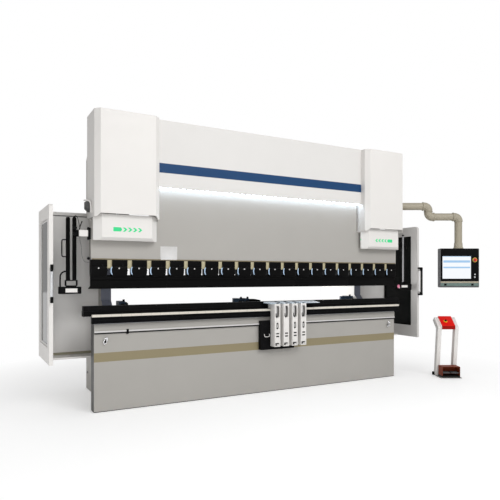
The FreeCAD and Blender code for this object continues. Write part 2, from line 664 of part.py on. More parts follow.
def make_arm():
    """Fixed pipe on the right cover, and the pipe that swings below it."""
    reach = "((pivot_x - cover_outer - bracket_wall) / cos(turn * 1 deg) + pipe_radius)"
    lower = "-pipe_drop"
    end = "(swing_length)"
    run = pipe("fixed_run", f"-{reach}", 0, f"{reach} - elbow_radius", True)
    bend = elbow("fixed_bend", "-elbow_radius", "-elbow_radius", 0)
    stub = pipe("fixed_stub", 0, "-pipe_drop / 2", "pipe_drop / 2 - elbow_radius", False)
    whole = fuse("whole_pipe", [run, bend, stub], "pivot_x", "pivot_y", "pipe_height", "turn")
    pieces.remove(whole)
    side = solid("Box", "flange_side", "cover_outer + bracket_wall - 4 * pipe_radius",
                 "bracket_y - 4 * pipe_radius", "pipe_height - 2 * pipe_radius",
                 Length="4 * pipe_radius", Width="8 * pipe_radius", Height="4 * pipe_radius")
    cut = doc.addObject("Part::Cut", "arm_bracket_pipe")
    cut.Base = whole
    cut.Tool = side
    pieces.append(cut)
    plate = piece("arm_flange")
    pad(plate, "YZ", "cover_outer", "cover_outer + bracket_wall",
        box("bracket_y - bracket_width / 2", "bracket_y + bracket_width / 2",
            "pipe_height - bracket_width / 2", "pipe_height + bracket_width / 2"))
    top = "(-pipe_drop / 2 - joint_gap)"
    parts = [
        pipe("swing_stub", 0, f"{lower} + elbow_radius", f"{top} - ({lower}) - elbow_radius", False),
        elbow("swing_bend", "elbow_radius", f"{lower} + elbow_radius", 180),
        pipe("swing_run", "elbow_radius", lower, f"{end} - 2 * elbow_radius", True),
        elbow("drop_bend", f"{end} - elbow_radius", f"{lower} - elbow_radius", 0),
        pipe("drop_run", end, "collar_floor + collar_height - pipe_height",
             "pipe_height - pipe_drop - elbow_radius - collar_floor - collar_height", False),
    ]
    fuse("swing_arm", parts, "pivot_x", "pivot_y", "pipe_height", "turn")


def make_pendant():
    """Operator's panel under its collar, with screen and stop button."""
    spot_x = "pivot_x + swing_length * cos(turn * 1 deg)"
    spot_y = "pivot_y - swing_length * sin(turn * 1 deg)"
    body = piece("pendant", spot_x, spot_y, 0, "turn")
    half = "pendant_width / 2"
    front = "-pendant_depth / 2"
    pad(body, "XZ", front, "pendant_depth / 2", box(f"-{half}", half, "pendant_floor", "pendant_top"))
    dress(body, "Fillet", "pendant_round", lies_along("y"))
    pad(body, "XY", "pendant_top", "collar_floor", [0, 0, "neck_radius"])
    pad(body, "XY", "collar_floor", "collar_floor + collar_height - joint_gap",
        [0, 0, "collar_radius"])
    collar_face = f"({front} - stop_wall)"
    pad(body, "XZ", collar_face, front, ["stop_shift", "stop_level", "stop_collar"])
    pocket(body, "XZ", collar_face, f"{front} + stop_travel + stop_bed",
           ["stop_shift", "stop_level", "stem_radius + rod_gap"])
    screen = piece("pendant_screen", spot_x, spot_y, 0, "turn")
    pad(screen, "XZ", f"{front} - screen_wall", front,
        box("screen_shift - screen_width / 2", "screen_shift + screen_width / 2", "screen_floor",
            "screen_floor + screen_height"))
    stop = piece("pendant_stop", spot_x, spot_y, 0, "turn")
    face = f"({collar_face} - stop_travel - stop_bed)"
    pad(stop, "XZ", face, front, ["stop_shift", "stop_level", "stem_radius"])
    pad(stop, "XZ", f"{face} - stop_height", face, ["stop_shift", "stop_level", "stop_radius"])


# Pedal stand, drawn about its own middle and turned like the pendant
def make_stand():
    """Base with the pedal guard, two leaning legs, head and wheels."""
    spot = ("stand_x", "stand_y", 0, "turn")
    base = piece("stand_base", *spot)
    pad(base, "XY", 0, "base_wall", box("-base_half", "base_half", "-base_depth / 2",
                                        "base_depth / 2"))
    front = "(-base_depth / 2)"
    back = f"({front} + box_depth)"
    pad(base, "XY", "base_wall", "box_height", box("-box_width / 2", "box_width / 2", front, back))
    pocket(base, "XZ", front, f"{back} - box_wall",
           box("-box_width / 2 + box_wall", "box_width / 2 - box_wall", "base_wall + box_lip",
               "box_height - box_wall"))
    pin = (f"{front} + pin_depth", "pin_height", "pin_radius")
    pad(base, "YZ", "-box_width / 2 + box_wall", "box_width / 2 - box_wall", pin)
    legs = piece("stand_legs", *spot)
    knee = "(leg_foot - leg_lean)"
    for side in (-1, 1):
        low, high = mirrored(side, "leg_span / 2 - leg_width", "leg_span / 2")
        pad(legs, "YZ", low, high,
            [("leg_foot", "base_wall"), ("leg_foot + leg_depth", "base_wall"),
             (f"{knee} + leg_depth", "knee_height - leg_depth / 4"),
             (f"{knee} + leg_rake + 0.7 * leg_depth", "leg_top - 0.6 * leg_depth"),
             (f"{knee} + leg_rake", "leg_top"), (knee, "knee_height")])
    head = piece("stand_head", *spot)
    pad(head, "YZ", "-leg_span / 2 + leg_width", "leg_span / 2 - leg_width",
        [(f"{knee} - head_wall", "knee_height - head_lip / 2"), (knee, "knee_height - head_lip / 2"),
         (knee, "knee_height + head_lip / 3"), (f"{knee} + leg_rake", "leg_top"),
         (f"{knee} + leg_rake", "leg_top + head_wall"),
         (f"{knee} - head_wall", "knee_height + head_lip / 2")])
    for name, side in (("left_pedal", -1), ("right_pedal", 1)):
        pedal = piece(name, *spot)
        middle = f"{side} * pedal_spacing / 2"
        low, high = (f"{middle} - pedal_width / 2", f"{middle} + pedal_width / 2")
        pad(pedal, "YZ", low, high,
            box(f"{front} + pin_depth - pedal_length", f"{front} + pin_depth",
                "pin_height - pedal_wall / 2", "pin_height + pedal_wall / 2"))
        pad(pedal, "YZ", low, high, [f"{front} + pin_depth", "pin_height", "barrel_radius"])
        pocket(pedal, "YZ", low, high,
               [f"{front} + pin_depth", "pin_height", "pin_radius + rod_gap"])
    wheels = piece("stand_wheels", *spot)
    for side in (-1, 1):
        low, high = mirrored(side, "base_half", "base_half + wheel_width")
        pad(wheels, "YZ", low, high, ["base_depth / 2 - wheel_radius", "wheel_radius", "wheel_radius"])


# Back gauge
def make_back_gauge():
    """Guides on the frames, shoes, a cross beam and four fingers."""
    guides = piece("gauge_guides")
    shoes = piece("gauge_shoes")
    top = "(gauge_floor + gauge_height)"
    for side in (-1, 1):
        low, high = mirrored(side, "guide_inner", "frame_inner")
        pad(guides, "YZ", low, high, box("guide_front", "guide_back", "gauge_floor", top))
        pad(shoes, "YZ", low, high, box("shoe_front", "shoe_front + shoe_depth",
                                        f"{top} + slide_gap", f"{top} + shoe_height"))
    beam = piece("gauge_beam")
    pad(beam, "YZ", "-guide_inner", "guide_inner",
        box("beam_front", "beam_front + beam_depth", "beam_floor", "beam_floor + beam_height"))
    spots = {"finger_1": "-finger_far", "finger_2": "finger_left", "finger_3": "finger_right",
             "finger_4": "finger_far"}
    seat = "(beam_floor + beam_height)"
    for name, centre in spots.items():
        finger = piece(name)
        pad(finger, "YZ", f"{centre} - finger_width / 2", f"{centre} + finger_width / 2",
            [("finger_front", f"{seat} + finger_height - finger_nose"),
             ("finger_front + 60", f"{seat} + 10"), ("beam_front", f"{seat} + slide_gap"),
             ("finger_back", f"{seat} + slide_gap"), ("finger_back", f"{seat} + finger_height"),
             ("finger_front", f"{seat} + finger_height")])


# Sheet supports on the front rail
def make_supports():
    """Four uprights that slide on the rail, and the rest that they park against."""
    back = "(rail_front - slide_gap)"
    front = f"({back} - support_depth)"
    for index in range(4):
        body = piece(f"support_{index + 1}")
        centre = f"(support_first + {index} * support_pitch)"
        low, high = (f"{centre} - support_width / 2", f"{centre} + support_width / 2")
        pad(body, "YZ", low, high,
            [(front, "support_floor"), (back, "support_floor"), (back, "strip_top + strip_gap"),
             ("-plate_back", "strip_top + strip_gap"), ("-plate_back", "plate_top"),
             (front, "plate_top")])
        low, high = (f"{centre} - opening_width / 2", f"{centre} + opening_width / 2")
        for top, height in (("(plate_top - opening_drop)", "opening_height"),
                            ("(plate_top - slit_drop)", "slit_height")):
            pocket(body, "XZ", f"{front} - 1", f"{front} + opening_depth",
                   box(low, high, f"{top} - {height}", top))
        pad(body, "XZ", f"{front} - knob_reach", front,
            [centre, "plate_top - knob_drop", "knob_radius"])
    rest = piece("support_rest")
    lap = "(-bed_front - ledge_step)"
    top = "(bed_height - ledge_height)"
    pad(rest, "YZ", "rest_left", "rest_right",
        [("-bed_front - rest_depth", f"{top} - rest_height"), ("-bed_front", f"{top} - rest_height"),
         ("-bed_front", top), (lap, top), (lap, f"{top} + rest_lap"),
         ("-bed_front - rest_depth", f"{top} + rest_lap")])


# Drive and cabinet behind the machine
def make_drive():
    """Shelf behind the tank with the motor and its pump."""
    shelf = piece("drive_shelf")
    pad(shelf, "XY", "motor_z - motor_radius - shelf_wall", "motor_z - motor_radius",
        box("-shelf_width / 2", "shelf_width / 2", "tank_back", "tank_back + shelf_depth"))
    motor = piece("motor_pump", 0, "motor_y", "motor_z")
    pad(motor, "YZ", "shelf_margin - shelf_width / 2", "shelf_margin - shelf_width / 2 + motor_length",
        [0, 0, "motor_radius"])
    start = "(shelf_margin - shelf_width / 2 + motor_length)"
    pad(motor, "YZ", start, f"{start} + pump_length", [0, 0, "pump_radius"])


def make_cabinet():
    """Electrical cabinet on the outside of the right frame."""
    body = piece("electrical_cabinet")
    start = "frame_inner + frame_thickness"
    pad(body, "XY", "cabinet_floor", "cabinet_floor + cabinet_height",
        box(start, f"{start} + cabinet_width", "cabinet_front", "cabinet_front + cabinet_depth"))


make_bed()
make_lower_tooling()
make_front_rail()
make_frame("left_frame", -1)
make_frame("right_frame", 1)
make_tank()
make_cylinders()
make_cylinder_cover("left_cylinder_cover", -1)
make_cylinder_cover("right_cylinder_cover", 1)
make_light_covers()
make_fascia()
make_ram()
make_clamps()
make_punch()
make_laser_mounts()
make_left_laser()
make_right_laser()
make_door("left_door", -1)
make_door("right_door", 1)
make_rear_guard("left_rear_guard", -1)
make_rear_guard("right_rear_guard", 1)
make_lead()
make_arm()
make_pendant()
make_stand()
make_back_gauge()
make_supports()
make_drive()
make_cabinet()
doc.recompute()

for item in doc.Objects:
    if "Invalid" in item.State or "Error" in item.State:
        raise ValueError(f"{item.Label} failed: {item.State}")
for item in pieces:
    if item.Shape.isNull() or not item.Shape.isValid():
        raise ValueError(f"{item.Label} has no valid shape")

os.makedirs("parts", exist_ok=True)
for item in pieces:
    item.Shape.exportStep(f"parts/{item.Label}.step")
print(len(pieces), "sub-parts")
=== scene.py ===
"""Dresses the hydraulic press brake: finishes, detailed pieces, studio and camera."""
import bpy
import json
import math
from bpy.props import FloatProperty, FloatVectorProperty, IntProperty, PointerProperty
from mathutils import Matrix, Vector


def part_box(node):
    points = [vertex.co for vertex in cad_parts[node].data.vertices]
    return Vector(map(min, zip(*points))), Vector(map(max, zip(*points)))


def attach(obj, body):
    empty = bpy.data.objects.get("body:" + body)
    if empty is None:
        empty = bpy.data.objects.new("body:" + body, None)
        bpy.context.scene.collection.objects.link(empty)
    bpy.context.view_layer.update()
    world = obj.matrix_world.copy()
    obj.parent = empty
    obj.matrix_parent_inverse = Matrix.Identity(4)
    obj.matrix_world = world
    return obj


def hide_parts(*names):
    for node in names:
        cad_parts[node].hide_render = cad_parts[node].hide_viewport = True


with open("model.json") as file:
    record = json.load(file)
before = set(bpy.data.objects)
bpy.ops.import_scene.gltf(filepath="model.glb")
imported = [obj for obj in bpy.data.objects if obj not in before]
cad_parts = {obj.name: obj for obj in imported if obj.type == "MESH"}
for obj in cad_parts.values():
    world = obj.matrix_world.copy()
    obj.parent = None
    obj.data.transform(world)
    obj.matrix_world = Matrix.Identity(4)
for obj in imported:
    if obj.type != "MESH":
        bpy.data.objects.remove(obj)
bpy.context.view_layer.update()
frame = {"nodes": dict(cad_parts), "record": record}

bl_info = {
    "name": "Press Brake",
    "version": (1, 0, 0),
    "blender": (4, 5, 0),
    "location": "3D View > Sidebar > Press Brake",
    "description": "Finishes and detailed pieces of a hydraulic press brake",
    "category": "Object",
}

TURN = -math.radians(28.83)  # turn of the control panel and of the stand, which face the camera
FINGER_REACH = {1: 0.006, 2: 0.059, 4: 0.150}  # front plates past the gauge fingers' left sides
WING_REACH = {1: 0.046, 3: 0.19, 4: 0.05}  # side plates past the gauge fingers' right sides
SUPPORT_REACH = {"west": {1: 0.055}, "east": {4: 0.19}}  # top plates past the outer supports
SUPPORT_OVERLAP = 0.004  # top plates past their supports everywhere else
BODY_OF = {node: body for body, nodes in frame["record"]["behaviour"]["bodies"].items() for node in nodes}
PIVOTS = {joint["name"]: Vector(joint["pos_m"]) for joint in frame["record"]["behaviour"]["joints"]
          if "pos_m" in joint}


class BrakeSizes(bpy.types.PropertyGroup):
    """Sizes of the details that the solids leave out."""
    tool_edge: FloatProperty(name="Tool edge", description="Rounding of ground tool edges",
                             default=0.0012, unit="LENGTH")
    clamp_pitch: FloatProperty(name="Clamp pitch", description="Distance between clamp centres",
                               default=0.2, unit="LENGTH")
    clamp_width: FloatProperty(name="Clamp width", description="Length of one clamp along the ram",
                               default=0.15, unit="LENGTH")
    lamp_pitch: FloatProperty(name="Lamp pitch", description="Distance between lamps under the front panel",
                              default=0.07, unit="LENGTH")
    collar: FloatProperty(name="Elbow radius", description="Outer radius of the arm's elbows",
                          default=0.0555, unit="LENGTH")
    fins: IntProperty(name="Motor fins", description="Number of cooling fins round the motor", default=28)


class BrakeColours(bpy.types.PropertyGroup):
    """Colours of the finishes, as linear values."""
    cover: FloatVectorProperty(name="Cover", description="Powder coat of covers and doors",
                               subtype="COLOR", default=(0.75, 0.73, 0.705), min=0, max=1)
    machine: FloatVectorProperty(name="Machine", description="Paint of bed, ram and frames",
                                 subtype="COLOR", default=(0.385, 0.37, 0.345), min=0, max=1)
    stripe: FloatVectorProperty(name="Stripe", description="Band across the front panel",
                                subtype="COLOR", default=(0.0045, 0.045, 0.135), min=0, max=1)
    band: FloatVectorProperty(name="Bed band", description="Tan band along the bed",
                              subtype="COLOR", default=(0.26, 0.22, 0.13), min=0, max=1)
    tool: FloatVectorProperty(name="Tooling", description="Blackened steel of the tools",
                              subtype="COLOR", default=(0.0036, 0.0035, 0.0036), min=0, max=1)
    arm: FloatVectorProperty(name="Arm", description="Paint of the control arm",
                             subtype="COLOR", default=(0.36, 0.325, 0.25), min=0, max=1)
    red: FloatVectorProperty(name="Stand red", description="Paint of the pedal stand",
                             subtype="COLOR", default=(0.74, 0.009, 0.005), min=0, max=1)
    arrow: FloatVectorProperty(name="Running light", description="Light of the arrows on the covers",
                               subtype="COLOR", default=(0.032, 0.716, 0.262), min=0, max=1)


# Selecting and shaping
def clear():
    """Leave edit mode and deselect everything."""
    if bpy.context.object and bpy.context.object.mode != "OBJECT":
        bpy.ops.object.mode_set(mode="OBJECT")
    bpy.ops.object.select_all(action="DESELECT")


def take(*items):
    """Select these objects alone, the first one active."""
    clear()
    for item in items:
        item.select_set(True)
    bpy.context.view_layer.objects.active = items[0]


def settle(item):
    """Move an object's place, turn and scale into its mesh."""
    take(item)
    bpy.ops.object.transform_apply(location=True, rotation=True, scale=True)
    return item


def outward(item):
    """Make the faces of a closed shape point outwards."""
    take(item)
    bpy.ops.object.mode_set(mode="EDIT")
    bpy.ops.mesh.select_all(action="SELECT")
    bpy.ops.mesh.normals_make_consistent(inside=False)
    bpy.ops.object.mode_set(mode="OBJECT")
    return item


def looks(axis, sign):
    """Return a test for the faces that look one way along an axis."""
    return lambda at, out: sign * out[axis] > 0.9


EAST, WEST, BACK, FRONT, UP, DOWN = (looks(axis, sign) for axis in range(3) for sign in (1, -1))


def pick(item, kind, chosen):
    """Enter edit mode with the faces or the edges that pass the test selected."""
    take(item)
    bpy.ops.object.mode_set(mode="EDIT")
    bpy.ops.mesh.select_mode(type=kind)
    bpy.ops.mesh.select_all(action="DESELECT")
    bpy.ops.object.mode_set(mode="OBJECT")
    points = item.data.vertices
    if kind == "FACE":
        for face in item.data.polygons:
            face.select = bool(chosen(face.center, face.normal))
    else:
        for edge in item.data.edges:
            edge.select = bool(chosen(*(points[k].co for k in edge.vertices)))
    bpy.ops.object.mode_set(mode="EDIT")


def change(item, kind, chosen, tool, **settings):
    """Use an edit-mode tool on the faces or the edges that pass the test."""
    pick(item, kind, chosen)
    tool(**settings)
    bpy.ops.object.mode_set(mode="OBJECT")
    return item


def bevel(item, width, steps=2, chosen=lambda a, b: True):
    """Round the chosen edges."""
    return change(item, "EDGE", chosen, bpy.ops.mesh.bevel, offset=width, offset_type="OFFSET",
                  segments=steps, affect="EDGES")


def inset(item, chosen, width, depth=0.0):
    """Set the chosen faces in by a width, and push them out by a depth."""
    return change(item, "FACE", chosen, bpy.ops.mesh.inset, thickness=width, depth=depth)


def extrude(item, chosen, move, size=None):
    """Pull the chosen faces along a step, and scale them about their own middle."""
    pick(item, "FACE", chosen)
    bpy.ops.mesh.extrude_region_move(TRANSFORM_OT_translate={"value": move})
    if size:
        bpy.ops.transform.resize(value=size)
    bpy.ops.object.mode_set(mode="OBJECT")
    return item


def shift(item, chosen, move):
    """Move the chosen faces."""
    return change(item, "FACE", chosen, bpy.ops.transform.translate, value=move)


def shift_edges(item, chosen, move):
    """Move the chosen edges."""
    return change(item, "EDGE", chosen, bpy.ops.transform.translate, value=move)


def add_rounding(item, width, steps, angle):
    """Add a modifier that rounds every edge sharper than an angle."""
    take(item)
    bpy.ops.object.modifier_add(type="BEVEL")
    rounding = item.modifiers[-1]
    rounding.width = width
    rounding.segments = steps
    rounding.limit_method = "ANGLE"
    rounding.angle_limit = math.radians(angle)
    return rounding


def soften(item, width, steps=2, angle=40):
    """Round every sharp edge and shade the piece smooth."""
    rounding = add_rounding(item, width, steps, angle)
    bpy.ops.object.modifier_apply(modifier=rounding.name)
    bpy.ops.object.shade_smooth_by_angle(angle=math.radians(40))
    return item


def carve(item, *cutters):
    """Cut other shapes out of a piece and remove them."""
    for cutter in cutters:
        take(item)
        bpy.ops.object.modifier_add(type="BOOLEAN")
        cut = item.modifiers[-1]
        cut.operation = "DIFFERENCE"
        cut.object = cutter
        bpy.ops.object.modifier_apply(modifier=cut.name)
    take(*cutters)
    bpy.ops.object.delete()
    return item


def join(name, items):
    """Join pieces into one."""
    take(*items)
    if len(items) > 1:
        bpy.ops.object.join()
    items[0].name = name
    return items[0]


def copies(item, pace, count):
    """Repeat a piece at even steps and join the row."""
    row = [item]
    for k in range(1, count):
        take(item)
        bpy.ops.object.duplicate(linked=False)
        bpy.ops.transform.translate(value=[length * k for length in pace])
        row.append(bpy.context.object)
    return join(item.name, row)


# Starting shapes
def block(name, low, high, width=0.0, steps=2):
    """Box between two corners, its edges rounded."""
    clear()
    low, high = Vector(low), Vector(high)
    bpy.ops.mesh.primitive_cube_add(size=1, location=(low + high) / 2)
    item = bpy.context.object
    item.name = name
    item.scale = high - low
    settle(item)
    if width:
        bevel(item, width, steps)
        bpy.ops.object.shade_smooth_by_angle(angle=math.radians(50))
    return item


def slab(name, spot, *reaches, width=0.0, steps=2):
    """Box that reaches from one distance to another along each axis, measured from a spot."""
    low, high = ([at + reach[end] for at, reach in zip(spot, reaches)] for end in (0, 1))
    return block(name, low, high, width, steps)


def framed(name, low, high, hole_low, hole_high):
    """Box with a square opening between two more corners."""
    return carve(block(name, low, high), block("hole", hole_low, hole_high))


def turned(name, centre, rings, axis="Z", sides=32):
    """Round piece built ring by ring: each ring is a level along its axis and a radius."""
    clear()
    bpy.ops.mesh.primitive_circle_add(vertices=sides, radius=rings[0][1], fill_type="NGON",
                                      location=(0, 0, rings[0][0]))
    item = bpy.context.object
    item.name = name
    settle(item)
    bpy.ops.object.mode_set(mode="EDIT")
    bpy.ops.mesh.select_mode(type="FACE")
    bpy.ops.mesh.select_all(action="SELECT")
    for (level, radius), (following, width) in zip(rings, rings[1:]):
        bpy.ops.mesh.extrude_region_move(TRANSFORM_OT_translate={"value": (0, 0, following - level)})
        share = width / radius
        bpy.ops.transform.resize(value=(share, share, 1), center_override=(0, 0, following))
    bpy.ops.object.mode_set(mode="OBJECT")
    outward(item)
    item.rotation_euler = {"X": (0, math.pi / 2, 0), "Y": (-math.pi / 2, 0, 0), "Z": (0, 0, 0)}[axis]
    item.location = centre
    settle(item)
    bpy.ops.object.shade_smooth_by_angle(angle=math.radians(35))
    return item


def bent(name, start, radius, centre, axis, angle=math.radians(90), steps=12, sides=36):
    """Bend of a round bar: a circle at its start, spun about an axis through a centre."""
    clear()
    start, centre, axis = Vector(start), Vector(centre), Vector(axis)
    facing = axis.cross(start - centre).normalized()
    bpy.ops.mesh.primitive_circle_add(vertices=sides, radius=radius, fill_type="NOTHING",
                                      location=start, rotation=facing.to_track_quat("Z", "Y").to_euler())
    item = bpy.context.object
    item.name = name
    settle(item)
    bpy.ops.object.mode_set(mode="EDIT")
    bpy.ops.mesh.select_all(action="SELECT")
    bpy.ops.mesh.spin(steps=steps, angle=-angle, center=centre, axis=axis)
    bpy.ops.mesh.select_all(action="SELECT")
    bpy.ops.mesh.remove_doubles(threshold=0.00001)
    bpy.ops.mesh.fill_holes(sides=0)
    bpy.ops.object.mode_set(mode="OBJECT")
    outward(item)
    bpy.ops.object.shade_smooth_by_angle(angle=math.radians(35))
    return item


def bar(name, spot, steps, radius, sides=10):
    """Round bar along a smooth line whose points are given as steps from a spot."""
    clear()
    bpy.ops.curve.primitive_nurbs_path_add(location=(0, 0, 0))
    item = bpy.context.object
    item.name = name
    line = item.data
    line.splines.clear()
    spline = line.splines.new("NURBS")
    spline.points.add(len(steps) - 1)
    for knot, away in zip(spline.points, steps):
        knot.co = (*(at + length for at, length in zip(spot, away)), 1)
    spline.order_u = 3
    spline.use_endpoint_u = True
    line.bevel_depth = radius
    line.bevel_resolution = sides // 2
    line.resolution_u = 6
    line.use_fill_caps = True
    bpy.ops.object.convert(target="MESH")
    return outward(settle(bpy.context.object))


def turn_in(item, spot):
    """Turn a piece drawn square to the operator and set it at its spot."""
    item.rotation_euler = (0, 0, TURN)
    item.location = (spot[0], spot[1], 0)
    return settle(item)


def dress(item, body, finish):
    """Give a finished piece its body and its finish."""
    item.data.materials.clear()
    item.data.materials.append(bpy.data.materials[finish])
    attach(item, body)
    return item


# Effects shared by the finishes
def effect(name, gives, **takes):
    """Start a node group; return it, the sockets that it takes and those that it gives."""
    group = bpy.data.node_groups.new(name, "ShaderNodeTree")
    for label, value in takes.items():
        kind = "Float" if isinstance(value, (int, float)) else {3: "Vector", 4: "Color"}[len(value)]
        group.interface.new_socket(label, in_out="INPUT",
            socket_type="NodeSocket" + kind).default_value = value
    for label in gives:
        kind = "Color" if label == "Colour" else "Float"
        group.interface.new_socket(label, in_out="OUTPUT", socket_type="NodeSocket" + kind)
    return group, group.nodes.new("NodeGroupInput").outputs, group.nodes.new("NodeGroupOutput").inputs


def set_socket(tree, socket, source):
    """Link a socket to another's result, or give it a value."""
    if hasattr(source, "is_output"):
        tree.links.new(source, socket)
    else:
        socket.default_value = source


def step(tree, kind, *links, **settings):
    """Add a node, set it up and link its inputs."""
    item = tree.nodes.new("ShaderNode" + kind)
    for label, value in settings.items():
        setattr(item, label, value)
    for socket, source in links:
        set_socket(tree, item.inputs[socket], source)
    return item


def sums(tree, operation, *values):
    """Add a maths node and return its result."""
    return step(tree, "Math", *enumerate(values), operation=operation).outputs[0]


def place(tree):
    """Return the place on the object."""
    return step(tree, "TexCoord").outputs["Object"]


def noise(tree, vector, scale, detail):
    """Return an uneven value that drifts over the surface."""
    return step(tree, "TexNoise", ("Vector", vector), ("Scale", scale), ("Detail", detail)).outputs["Fac"]


def spread(tree, value, start, end, low=0.0, high=1.0):
    """Return a value stretched from one range to another."""
    return step(tree, "MapRange", ("Value", value), ("From Min", start), ("From Max", end), ("To Min", low),
                ("To Max", high)).outputs[0]


def blend(tree, mask, base, over):
    """Return a colour that changes where the mask is full."""
    return step(tree, "Mix", ("Factor", mask), (6, base), (7, over), data_type="RGBA").outputs[2]


def normals(tree, kind):
    """Return the three parts of the surface's own direction."""
    return step(tree, "SeparateXYZ", (0, step(tree, "NewGeometry").outputs[kind])).outputs


def make_tone():
    """Slow drift of tone over a painted surface."""
    group, taken, given = effect("tone drift", ["Colour"], Colour=(1, 1, 1, 1), Scale=3.0, Amount=0.05)
    cloud = noise(group, place(group), taken["Scale"], 5.0)
    swing = sums(group, "MULTIPLY", sums(group, "SUBTRACT", cloud, 0.5), taken["Amount"])
    wide = sums(group, "MULTIPLY_ADD", swing, 4.0, 1.0)
    shade = step(group, "VectorMath", (0, taken["Colour"]), ("Scale", wide), operation="SCALE")
    set_socket(group, given["Colour"], shade.outputs[0])


def make_grain():
    """Fine grain: a roughness that varies and a height for the bump."""
    group, taken, given = effect("surface grain", ["Roughness", "Height"], Scale=400.0, Low=0.4, High=0.6)
    spot = place(group)
    smear = noise(group, spot, 9.0, 6.0)
    rough = spread(group, smear, 0.3, 0.7, taken["Low"], taken["High"])
    set_socket(group, given["Roughness"], rough)
    set_socket(group, given["Height"], noise(group, spot, taken["Scale"], 3.0))


def make_wear():
    """Bare metal along worn edges."""
    group, taken, given = effect("edge wear", ["Colour", "Mask"], Colour=(1, 1, 1, 1),
                                 Worn=(0.3, 0.3, 0.3, 1), Amount=0.5)
    shape = step(group, "NewGeometry")
    rounded = step(group, "Bevel", ("Radius", 0.004))
    facing = step(group, "VectorMath", (0, rounded.outputs[0]), (1, shape.outputs["Normal"]),
                  operation="DOT_PRODUCT")
    crest = spread(group, facing.outputs["Value"], 0.985, 0.90)
    spots = spread(group, noise(group, place(group), 35.0, 6.0), 0.42, 0.62)
    mask = sums(group, "MULTIPLY", sums(group, "MULTIPLY", crest, spots), taken["Amount"])
    set_socket(group, given["Colour"], blend(group, mask, taken["Colour"], taken["Worn"]))
    set_socket(group, given["Mask"], mask)


def make_streaks():
    """Streaks of a brushed or ground surface along one direction."""
    group, taken, given = effect("brushed streaks", ["Roughness", "Height"], Squeeze=(2, 300, 300), Low=0.3,
                                 High=0.5)
    long = step(group, "Mapping", ("Vector", place(group)), ("Scale", taken["Squeeze"]))
    line = noise(group, long.outputs[0], 1.0, 5.0)
    set_socket(group, given["Roughness"], spread(group, line, 0.3, 0.7, taken["Low"], taken["High"]))
    set_socket(group, given["Height"], line)


def make_inner():
    """Mask of the faces that look towards the middle of the machine."""
    group, taken, given = effect("inner faces", ["Mask"], Reach=1.5)
    spot = step(group, "SeparateXYZ", (0, place(group))).outputs
    both = sums(group, "MULTIPLY", spot["X"], normals(group, "True Normal")["X"])
    least = sums(group, "SUBTRACT", 0.0, taken["Reach"])
    set_socket(group, given["Mask"], sums(group, "LESS_THAN", both, least))


def make_facing():
    """Masks of the faces that look sideways and of those that look to the front."""
    group, taken, given = effect("facing", ["Side", "Front"], Least=0.7)
    parts = normals(group, "True Normal")
    across = sums(group, "ABSOLUTE", parts["X"])
    forward = sums(group, "MULTIPLY", parts["Y"], -1.0)
    for label, value in (("Side", across), ("Front", forward)):
        set_socket(group, given[label], sums(group, "GREATER_THAN", value, taken["Least"]))


def make_zone():
    """Mask of a level band between two heights."""
    group, taken, given = effect("level band", ["Mask"], Low=0.0, High=1.0)
    height = step(group, "SeparateXYZ", (0, place(group))).outputs["Z"]
    above = sums(group, "GREATER_THAN", height, taken["Low"])
    below = sums(group, "LESS_THAN", height, taken["High"])
    set_socket(group, given["Mask"], sums(group, "MULTIPLY", above, below))


def make_joints():
    """Mask of thin joint lines at an even spacing along the machine."""
    group, taken, given = effect("joint lines", ["Mask"], Spacing=0.8, Width=0.003)
    along = step(group, "SeparateXYZ", (0, place(group))).outputs["X"]
    share = sums(group, "WRAP", along, taken["Spacing"], 0.0)
    set_socket(group, given["Mask"], sums(group, "LESS_THAN", share, taken["Width"]))


def place_effect(tree, name, **values):
    """Place a shared effect in a material with its own values and return its results."""
    item = tree.nodes.new("ShaderNodeGroup")
    item.node_tree = bpy.data.node_groups[name]
    for label, value in values.items():
        set_socket(tree, item.inputs[label], value)
    return item.outputs


# Finishes
def rgba(colour):
    """Return a colour with full alpha."""
    return (*colour[:3], 1.0)


def ready(tree, colour):
    """Return a plain colour with full alpha, or the result of a mixed one."""
    return colour(tree) if callable(colour) else rgba(colour)


def start_finish(name, metal=0.0, coat=0.0, gloss=0.35):
    """Start a material and return its tree and its Principled node."""
    item = bpy.data.materials.new(name)
    item.use_nodes = True
    shader = item.node_tree.nodes["Principled BSDF"]
    shader.inputs["Metallic"].default_value = metal
    shader.inputs["Coat Weight"].default_value = coat
    shader.inputs["Specular IOR Level"].default_value = gloss
    return item.node_tree, shader


def paint(name, colour, low, high, metal=0.0, coat=0.0, gloss=0.35, grain=450.0, relief=0.02, tone=0.04,
          scale=2.5, worn=None, wear=0.5, streaks=None):
    """Build a finish: colour with tone drift and edge wear, roughness from low to high, and bump."""
    tree, shader = start_finish(name, metal, coat, gloss)
    base = ready(tree, colour)
    last = place_effect(tree, "tone drift", Colour=base, Scale=scale, Amount=tone)["Colour"]
    if worn:
        last = place_effect(tree, "edge wear", Colour=last, Worn=rgba(worn), Amount=wear)["Colour"]
    tree.links.new(last, shader.inputs["Base Color"])
    if streaks:
        skin = place_effect(tree, "brushed streaks", Squeeze=streaks, Low=low, High=high)
    else:
        skin = place_effect(tree, "surface grain", Scale=grain, Low=low, High=high)
    tree.links.new(skin["Roughness"], shader.inputs["Roughness"])
    bump = step(tree, "Bump", ("Height", skin["Height"]), ("Strength", relief), ("Distance", 0.001))
    tree.links.new(bump.outputs[0], shader.inputs["Normal"])


def zoned(base, over, low, high):
    """Return a colour that changes inside a level band."""
    return lambda tree: blend(tree, place_effect(tree, "level band", Low=low, High=high)["Mask"],
                              ready(tree, base), ready(tree, over))


def faced(base, over, way):
    """Return a colour that changes on the faces that look one way."""
    return lambda tree: blend(tree, place_effect(tree, "facing")[way], ready(tree, base), ready(tree, over))


